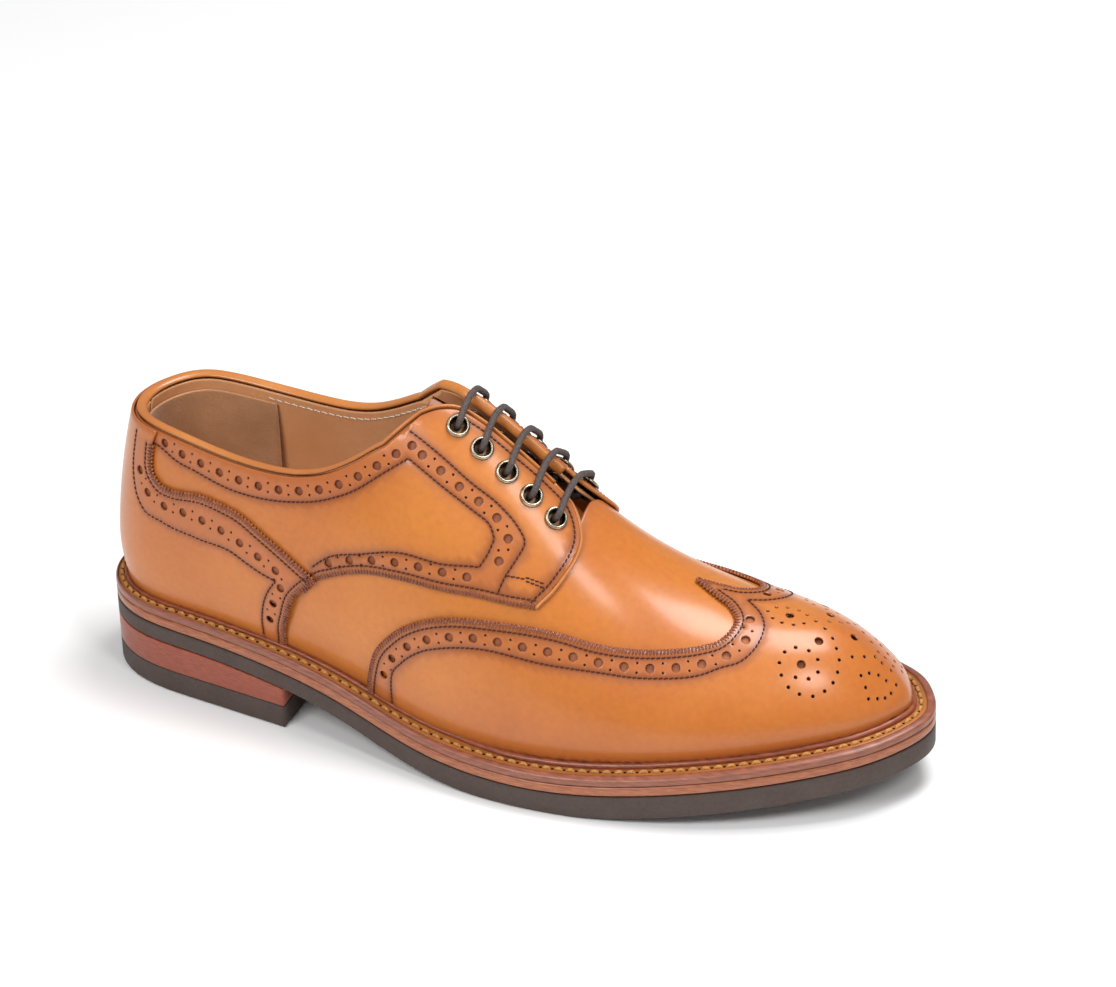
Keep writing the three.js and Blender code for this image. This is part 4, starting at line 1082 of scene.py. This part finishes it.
def plated(name, levels, material, **how):
    """A closed plate: rings from its underside's middle, out round its edge, to its top's middle."""
    edge_rings = [sole_ring(inset, height) for inset, height in levels]
    top = crest_point(ROUND)

    def disc(ring, height):
        flats = [top + (ring[:, :2] - top) * share for share in DISC_SHARES]
        return [np.column_stack([xy, height(xy[:, 0])]) for xy in flats]
    rings = disc(edge_rings[0], levels[0][1]) + edge_rings + disc(edge_rings[-1], levels[-1][1])[::-1]
    points = np.vstack(rings)
    # both sides of the shoe share the points on the crest line
    twin = np.arange(len(points))
    other = np.arange(STATIONS // 2 + 1, STATIONS)
    for base in (0, len(points) - STATIONS):
        twin[base + other] = base + STATIONS - other
    faces = [list(dict.fromkeys(int(twin[v]) for v in face)) for face in quads(len(rings), STATIONS)]
    faces = [face[::-1] for face in faces if len(face) > 2]
    used = sorted({v for face in faces for v in face})
    number = {v: i for i, v in enumerate(used)}
    return new_piece(name, points[used], [[number[v] for v in face] for face in faces], material, **how)


def rounded_edge(low, high, radius, steps=5):
    """Levels of an edge that is rounded at its foot and its top."""
    bends = np.linspace(0, math.pi / 2, steps)
    foot = [(radius * (1 - math.sin(t)), lambda x, t=t: low(x) + radius * (1 - math.cos(t))) for t in bends]
    top = [(radius * (1 - math.cos(t)), lambda x, t=t: high(x) - radius * (1 - math.sin(t))) for t in bends]
    return foot + top


def build_sole():
    plated("outsole_body", rounded_edge(outsole_bottom, outsole_top, 0.7), RUBBER,
           replaces=["rubber_outsole"], slot="rubber")
    plated("midsole_body",
           rounded_edge(lambda x: midsole_top(x) - MIDSOLE_THICK, midsole_top, 1.1), MIDSOLE,
           replaces=["leather_midsole"], slot="sole_leather")
    build_welt()

    def inset(x):
        return welt_margin(x) + INSOLE_INSET
    plated("insole_body", [(inset, welt_top), (inset, lambda x: welt_top(x) + INSOLE_THICK)], INSOLE,
           replaces=["insole"], slot="insole_leather")


INSOLE_INSET = 3.4
STITCH_INSET = spline([(0, 2.4), (60, 2.7), (120, 3.8), (180, 4.8), (240, 5.3), (308, 5.1)])
CHANNEL_HALF = spline([(0, 1.6), (60, 1.8), (120, 2.3), (180, 2.4), (308, 2.3)])
WELT_PITCH = 4.3
WELT_STITCH_LENGTH, WELT_STITCH_RADIUS, WELT_STITCH_DEPTH, WELT_STITCH_RISE = 3.2, 0.72, 0.32, 0.7
AWL_RADIUS, AWL_DEPTHS = 0.55, (0.6, 0.36)
LIP = 1.35                         # how far the welt's rim is rounded down


def bead_radius(x):
    return np.interp(x, [0, 60, 110, 180, 308], [0.8, 0.85, 1.1, 1.3, 1.35])


def bead_inset(x):
    """Middle of the storm bead, which leans on the leather that meets the welt there."""
    leather = np.interp(x, [0, 55, 82, 150, 172, 308], [0.85, 0.85, 0, 0, 1.5, 1.5])
    return welt_margin(x) - leather - 0.75 * bead_radius(x)


def welt_rings(section):
    """Rings round the shoe from (inset, height above the welt's top) pairs."""
    columns = []
    for inset, height in section:
        xy = sole_edge(ROUND, inset)
        columns.append(np.column_stack([xy, welt_top(xy[:, 0]) + height]))
    return np.stack(columns, axis=1)


def build_welt():
    x = rim_point(ROUND)[:, 0]
    line, half, inner_edge = STITCH_INSET(x), CHANNEL_HALF(x), welt_margin(x) + 2.2
    lip = np.maximum(line - half, 0.8)
    # the rounded outer rim, dyed like the midsole below it
    section = [(lip * (1 - math.cos(t)) if t < math.pi / 2 else lip, -LIP * (1 - math.sin(t)) - 0.02)
               for t in np.linspace(0, math.pi / 2, 7)]
    section += [(lip + 0.15, -0.55), (lip + 0.15, -WELT_THICK)]
    section += [(0.5 * (1 - math.sin(t)) + 0 * x, -WELT_THICK + 0.5 * (1 - math.cos(t)))
                for t in np.linspace(0, math.pi / 2, 4)]
    swept("welt_rim", welt_rings(section), EDGE, closed=True, replaces=["storm_welt"], slot="welt")
    # the golden channel that the stitches lie in
    section = [(lip + 0.2, -0.5), (line - 0.5 * half, -0.42), (line + 0.5 * half, -0.42),
               (line + half, -0.1), (inner_edge, -0.1), (inner_edge, -WELT_THICK), (lip + 0.2, -WELT_THICK)]
    swept("welt_channel", welt_rings(section), WELT, closed=True, slot="welt")
    radius = bead_radius(x)
    section = [(bead_inset(x) - radius * math.cos(t), 0.2 * radius + radius * math.sin(t))
               for t in np.linspace(0, 2 * math.pi, 14, endpoint=False)]
    swept("storm_ridge", welt_rings(section), STORM, closed=True, slot="welt")
    welt_stitches()


def on_welt(xy, lower):
    return np.column_stack([xy, welt_top(xy[:, 0]) - lower])[:, None]


def welt_stitches():
    """Thick stitches in the welt's channel, with a dark disc of painted shade for the stitch hole between
    each pair.
    """
    fine = np.linspace(0, 2 * np.pi, 4001)
    line = sole_edge(fine, STITCH_INSET(rim_point(fine)[:, 0]))
    length = running_length(line)
    count = int(length[-1] / WELT_PITCH)
    middles = (np.arange(count) + 0.5) * length[-1] / count
    xy, next_xy = (along_line(line, length, at) for at in (middles, middles + 0.5))
    ahead = unit(next_xy - xy)
    side = np.column_stack([-ahead[:, 1], ahead[:, 0], 0 * middles])[:, None]
    c, s = circle(8)
    rings = [on_welt(xy + ahead * share * WELT_STITCH_LENGTH, WELT_STITCH_DEPTH - rise * WELT_STITCH_RISE)
             + WELT_STITCH_RADIUS * thick * (side * c + UP * s) for share, thick, rise in STITCH_PROFILE]
    copies("welt_stitches", np.concatenate(rings, axis=1), stitch_faces(8), WELT_THREAD, slot="welt")

    # a dark disc of painted shade in each stitch hole
    marks = along_line(line, length, np.arange(count) * length[-1] / count)
    shapes = [np.vstack([[x, y, welt_top(x) - depth] + AWL_RADIUS * np.hstack([c, s, 0 * c])
                         for depth in AWL_DEPTHS])
              for x, y in marks]
    copies("welt_awl_hole_shades", shapes, capped(2, 8), AWL_HOLE_SHADE, slot="welt")


BACK_POINTS, BREAST_POINTS = 60, 12


def heel_ring(inset, height):
    """Outline of the heel moved in by inset: round the back from breast to breast, then across."""
    fine = np.linspace(0, math.pi / 2, 800)
    ends = [np.interp(HEEL_LENGTH - inset, sole_edge(sign * fine, inset)[:, 0], fine) for sign in (1, -1)]
    angles = np.concatenate([np.linspace(-ends[1], 0, BACK_POINTS, endpoint=False),
                             np.linspace(0, ends[0], BACK_POINTS)])
    xy = sole_edge(angles, inset)
    xy = np.vstack([xy, np.linspace(xy[-1], xy[0], BREAST_POINTS + 2)[1:-1]])
    return np.column_stack([xy, height(xy[:, 0])])


def heel_part(name, low, high, radius, material, **how):
    rings = np.array([heel_ring(inset, height) for inset, height in rounded_edge(low, high, radius)])
    count, n = rings.shape[:2]
    faces = quads(count, n)
    # strips across the heel close its underside and its top
    for base in (0, (count - 1) * n):
        left, right = base + BACK_POINTS - 1, base + BACK_POINTS
        faces += [(left - j, right - j, right + j, right + j + 1) for j in range(BACK_POINTS - 1)]
        faces.append((base, *range(base + 2 * BACK_POINTS - 1, base + n)))
    points = rings.reshape(-1, 3)
    return new_piece(name, points, fixed_winding(points, faces), material, **how)


def fixed_winding(points, faces):
    """The faces again, all turned outwards."""
    mesh = bpy.data.meshes.new("winding")
    mesh.from_pydata(points.tolist(), [], faces)
    work = bmesh.new()
    work.from_mesh(mesh)
    bmesh.ops.recalc_face_normals(work, faces=work.faces)
    result = [[v.index for v in f.verts] for f in work.faces]
    work.free()
    bpy.data.meshes.remove(mesh)
    return result


def build_heel():
    heel_part("heel_lift_stack", lambda x: TOP_PIECE_THICK + GAP + 0 * x,
              lambda x: outsole_bottom(x) - GAP, 0.35, LIFT, replaces=["heel_lift"], slot="sole_leather")
    heel_part("heel_tread", lambda x: 0 * x, lambda x: TOP_PIECE_THICK + 0 * x, 0.6, RUBBER,
              replaces=["heel_top_piece"], slot="rubber")


# ---------- trim ----------
def roll(name, path, middle_at, size, sides, **how):
    """A leather roll along a path; its section is measured out from the leather and beyond its edge."""
    at, normal, along = (v[:, None] for v in rail(path))
    c, s = circle(sides)
    rings = (at + normal * (middle_at[0] + size[0] * c)
             + np.cross(along, normal) * (middle_at[1] + size[1] * s))
    swept(name, rings, BINDING, slot="binding", **how)


def build_binding():
    """The rolled topline, and a finer roll down the front of each facing below it."""
    clear = 1.6 * GAP
    low, high = LAYER["lining"][0], LAYER["outer"][1]
    rise = (BINDING_HEIGHT - clear) / 2
    halves = [chain(top_edge(side, MID_BACK, 76, BINDING_HEIGHT), edge(side, facing_front(side)[:6]))
              for side, _ in SIDES]
    path = spaced(np.vstack([halves[0][::-1], halves[1]]), 1.2)
    roll("topline_roll", path, ((high + low) / 2, clear + rise), ((high - low) / 2 - 0.2, rise), 14,
         replaces=["topline_binding"])
    for side, word in SIDES:
        path = beside(spaced(edge(side, facing_front(side)[5:]), 1.0), side * 0.35)
        roll(f"facing_roll_{word}", path, (0.95, 0), (0.75, 0.65), 10)


def build_grip():
    def half(side):
        return np.vstack([edge(side, [(0, 0.95), (15, 0.95), (30, 0.95), (50, 0.95)]),
                          top_edge(side, 50, 0, 6)])
    panel("grip_suede", joined(half(OUTER_SIDE), half(INNER_SIDE)[::-1]), "grip", SUEDE, grid=3.0,
          replaces=["heel_grip"], slot="suede")


TONGUE_BASE = 197
TONGUE_HALF = [(128, 6), (130.5, 9.5), (136, 11.5), (150, 12), (172, 11), (TONGUE_BASE, 9.5)]


def build_tongue():
    for name, node, shrink, material, slot in (
            ("tongue_leather", "tongue", 0, TONGUE, "tongue_leather"),
            ("tongue_back", "tongue_lining", 0.6, LINING, "lining")):
        near, far = (from_pattern(catmull([(x, float(middle(x)) + sign * (half - shrink))
                                           for x, half in TONGUE_HALF], FLAT_STEP)) for sign in (-1, 1))
        panel(name, joined(near, far[::-1]), node, material, body="tongue", replaces=[node], slot=slot)


# radius and height over the last of an eyelet's section, and where painted shade darkens the inside of its
# barrel
EYELET_PROFILE = [(EYELET_BORE, -3.6), (EYELET_BORE, 0.6), (2.6, 1.7), (2.85, 2.3), (2.95, 2.65),
                  (3.15, 2.88), (3.45, 2.95), (3.8, 2.82), (4.1, 2.5), (4.2, 2.1),
                  (4.0, 1.9), (3.1, 1.9), (2.85, 1.3), (2.85, -3.1), (3.7, -3.3), (3.5, -3.6)]
BARREL_SHADE_RADIUS, BARREL_SHADE_HEIGHT = 2.94, 2.5
EYELET_SIDES = 40


def build_eyelets():
    c, s = circle(EYELET_SIDES)
    radius, height = np.array(EYELET_PROFILE).T[:, None, :, None]
    # the inside of the barrel, marked for painted shade
    deep = [float(h < BARREL_SHADE_HEIGHT and r < BARREL_SHADE_RADIUS) for r, h in EYELET_PROFILE] * EYELET_SIDES
    for side, word in SIDES:
        for number, (degrees, depth) in enumerate(EYELETS[side], 1):
            angle = turn(side, degrees)
            point, normal = last_point(angle, depth), last_normal(angle, depth)
            first = unit(np.cross(normal, UP))
            spoke = (first * c + np.cross(normal, first) * s)[:, None]
            swept(f"eyelet_{word}_{number}_ring", point + radius * spoke + normal * height, EYELET_METAL,
                  closed=True, marks={"deep": deep}, replaces=[f"eyelet_{word}_{number}"], slot="brass")


# ---------- lace, along the route of its CAD solid ----------
BAR = [(0, -2.4), (0, 1.3), (0.018, 3.4), (0.06, 4.65), (0.1, 4.4), (0.2, 3.45), (0.32, 3.1), (0.5, 2.8)]
INSIDE_RUN = [(0.06, -4.6), (0.2, -5.45), (0.5, -5.5), (0.8, -5.45), (0.94, -4.6)]
INNER_END_WALL = [(84.7, 0.25, -4.5), (84.4, 0.29, -5.4), (84, 0.36, -5.6), (83, 0.48, -5.7),
                  (82, 0.62, -6), (81.5, 0.76, -7), (81.5, 0.88, -8)]
INNER_END_FLOOR = [(143, 16), (160, 16), (185, 20), (210, 25), (232, 26), (248, 20), (253, 12),
                   (245, 6), (228, 5), (212, 5, 0.8)]
OUTER_END_WALL = [(98.6, 0.22, -4.5), (99, 0.245, -5.4), (99.5, 0.33, -5.6), (100, 0.45, -5.7),
                  (101, 0.6, -6), (102, 0.75, -7), (103.5, 0.87, -8)]
OUTER_END_FLOOR = [(194, -35), (208, -35), (226, -31), (243, -22), (250, -11), (243, -4),
                   (225, -3), (205, -5), (190, -8, 0.5)]


def run(a, b, steps):
    """Points between two places of the pattern, each at a share of the way and a height over the last."""
    return [above(*on_pattern(a + (b - a) * share), offset)[0] for share, offset in steps]


def on_insole(x, y, lift=0.0):
    return np.array([x, y, float(welt_top(x)) + INSOLE_THICK + GAP + LACE_RADIUS + lift])


def on_wall(side, points):
    return [above(turn(side, degrees), depth, offset) for degrees, depth, offset in points]


def lace_route():
    bar = BAR + [(1 - share, offset) for share, offset in BAR[::-1][1:]]
    eyelets = {side: pattern(side, EYELETS[side]) for side in EYELETS}
    route = [on_insole(*p) for p in OUTER_END_FLOOR[::-1]] + on_wall(OUTER_SIDE, OUTER_END_WALL[::-1])
    side = OUTER_SIDE
    for number in range(len(EYELETS[side]) - 1, -1, -1):
        route += run(eyelets[side][number], eyelets[-side][number], bar)
        side = -side
        if number > 0:
            route += run(eyelets[side][number], eyelets[side][number - 1], INSIDE_RUN)
    return np.array(route + on_wall(INNER_SIDE, INNER_END_WALL) + [on_insole(*p) for p in INNER_END_FLOOR])


LACE_STEP, LACE_SIDES = 0.55, 16
BRAID = 0.09                       # how far the strands of the braid stand out
STRANDS, TWIST = 4, 2.4            # strands each way round, and their turn per millimetre


def build_lace():
    line = catmull(lace_route(), 0.6)
    length = running_length(line)
    at = np.arange(0, length[-1], LACE_STEP)
    line = along_line(line, length, at)
    t = np.linspace(0, 2 * np.pi, LACE_SIDES, endpoint=False)
    ahead = unit(np.gradient(line, axis=0))
    across, rings = np.cross(ahead[0], UP), []
    for distance, p, way in zip(at, line, ahead):
        across = unit(across - way * (across @ way))
        weave = np.sin(STRANDS * t + distance * TWIST) * np.sin(STRANDS * t - distance * TWIST)
        radius = (LACE_RADIUS + BRAID * (weave - 0.5))[:, None]
        rings.append(p + radius * (np.cos(t)[:, None] * across
                                   + np.sin(t)[:, None] * np.cross(way, across)))
    lace = swept("round_lace", rings, LACE, replaces=["shoelace"], slot="lace")


# ---------- camera, light and floor ----------
AZIMUTH, ELEVATION, ROLL = math.radians(22.76), math.radians(31.48), math.radians(-2.01)
DISTANCE, TARGET = 1700.0, np.array([165.77, 16.21, 83.49])
FOCAL_PIXELS, IMAGE_WIDTH, SENSOR = 4850.29, 1116, 36.0
# name, size, watts, place and aim in metres
LIGHTS = [
    ("top", (0.7, 0.5), 16, (0.33, 0.28, 1.4), (0, 0, 0.05)),
    ("right_front", (0.3, 0.35), 5, (0.85, -0.55, 1.15), (0.05, 0, 0.05)),
    ("left_front", (0.6, 0.5), 10, (-0.3, -1.0, 1.1), (0, 0, 0.05)),
]
WORLD_STRENGTH = 0.34
FLOOR_REACH, FLOOR_DROP = 4.0, 0.0003


def build_camera():
    back = np.array([math.sin(AZIMUTH) * math.cos(ELEVATION), -math.cos(AZIMUTH) * math.cos(ELEVATION),
                     math.sin(ELEVATION)])
    right = np.array([math.cos(AZIMUTH), math.sin(AZIMUTH), 0.0])
    up = np.cross(back, right)
    turned_right = math.cos(ROLL) * right + math.sin(ROLL) * up
    turned_up = -math.sin(ROLL) * right + math.cos(ROLL) * up
    place = placed(TARGET + back * DISTANCE)
    camera = in_scene("camera", bpy.data.cameras.new("camera"))
    camera.data.sensor_width = SENSOR
    camera.data.sensor_fit = "HORIZONTAL"
    camera.data.lens = FOCAL_PIXELS / IMAGE_WIDTH * SENSOR
    camera.data.clip_end = 20
    camera.matrix_world = Matrix([*zip(turned_right, turned_up, back, place), (0, 0, 0, 1)])
    bpy.context.scene.camera = camera


def build_stage():
    for name, size, watts, place, aim in LIGHTS:
        lamp = bpy.data.lights.new(name, "AREA")
        lamp.shape = "RECTANGLE"
        lamp.size, lamp.size_y = size
        lamp.energy = watts
        obj = in_scene(name, lamp)
        obj.location = place
        obj.rotation_euler = (Vector(aim) - Vector(place)).to_track_quat("-Z", "Y").to_euler()

    world = bpy.data.worlds.new("studio")
    world.use_nodes = True
    background = world.node_tree.nodes["Background"]
    background.inputs["Color"].default_value = (1, 1, 1, 1)
    background.inputs["Strength"].default_value = WORLD_STRENGTH
    bpy.context.scene.world = world

    mesh = bpy.data.meshes.new("floor")
    corners = [(x * FLOOR_REACH, y * FLOOR_REACH, 0) for x, y in ((-1, -1), (1, -1), (1, 1), (-1, 1))]
    mesh.from_pydata(corners, [], [(0, 1, 2, 3)])
    mesh.materials.append(Nodes("white_floor").finish((0.93, 0.93, 0.93, 1), 0.6))
    floor = in_scene("floor", mesh)
    floor.location.z = -FLOOR_DROP
    bpy.context.scene.view_settings.view_transform = "Standard"


def dress_hidden():
    """Materials for the CAD pieces that are right as they are."""
    special = {"cork_filler": CORK, "steel_shank": STEEL, "aglet_1": AGLET, "aglet_2": AGLET}
    for name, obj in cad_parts.items():
        if not obj.hide_render:
            obj.data.materials.clear()
            usual = EYELET_METAL if name.startswith("heel_nail") else FIRM
            obj.data.materials.append(special.get(name, usual))


build_camera()
build_stage()
build_lace()
build_vamp_and_wing()
for side, word in SIDES:
    build_quarter(side, word)
    build_lining(side, word)
build_vamp_lining()
build_counter()
build_sole()
build_heel()
build_binding()
build_grip()
build_tongue()
build_eyelets()
dress_hidden()
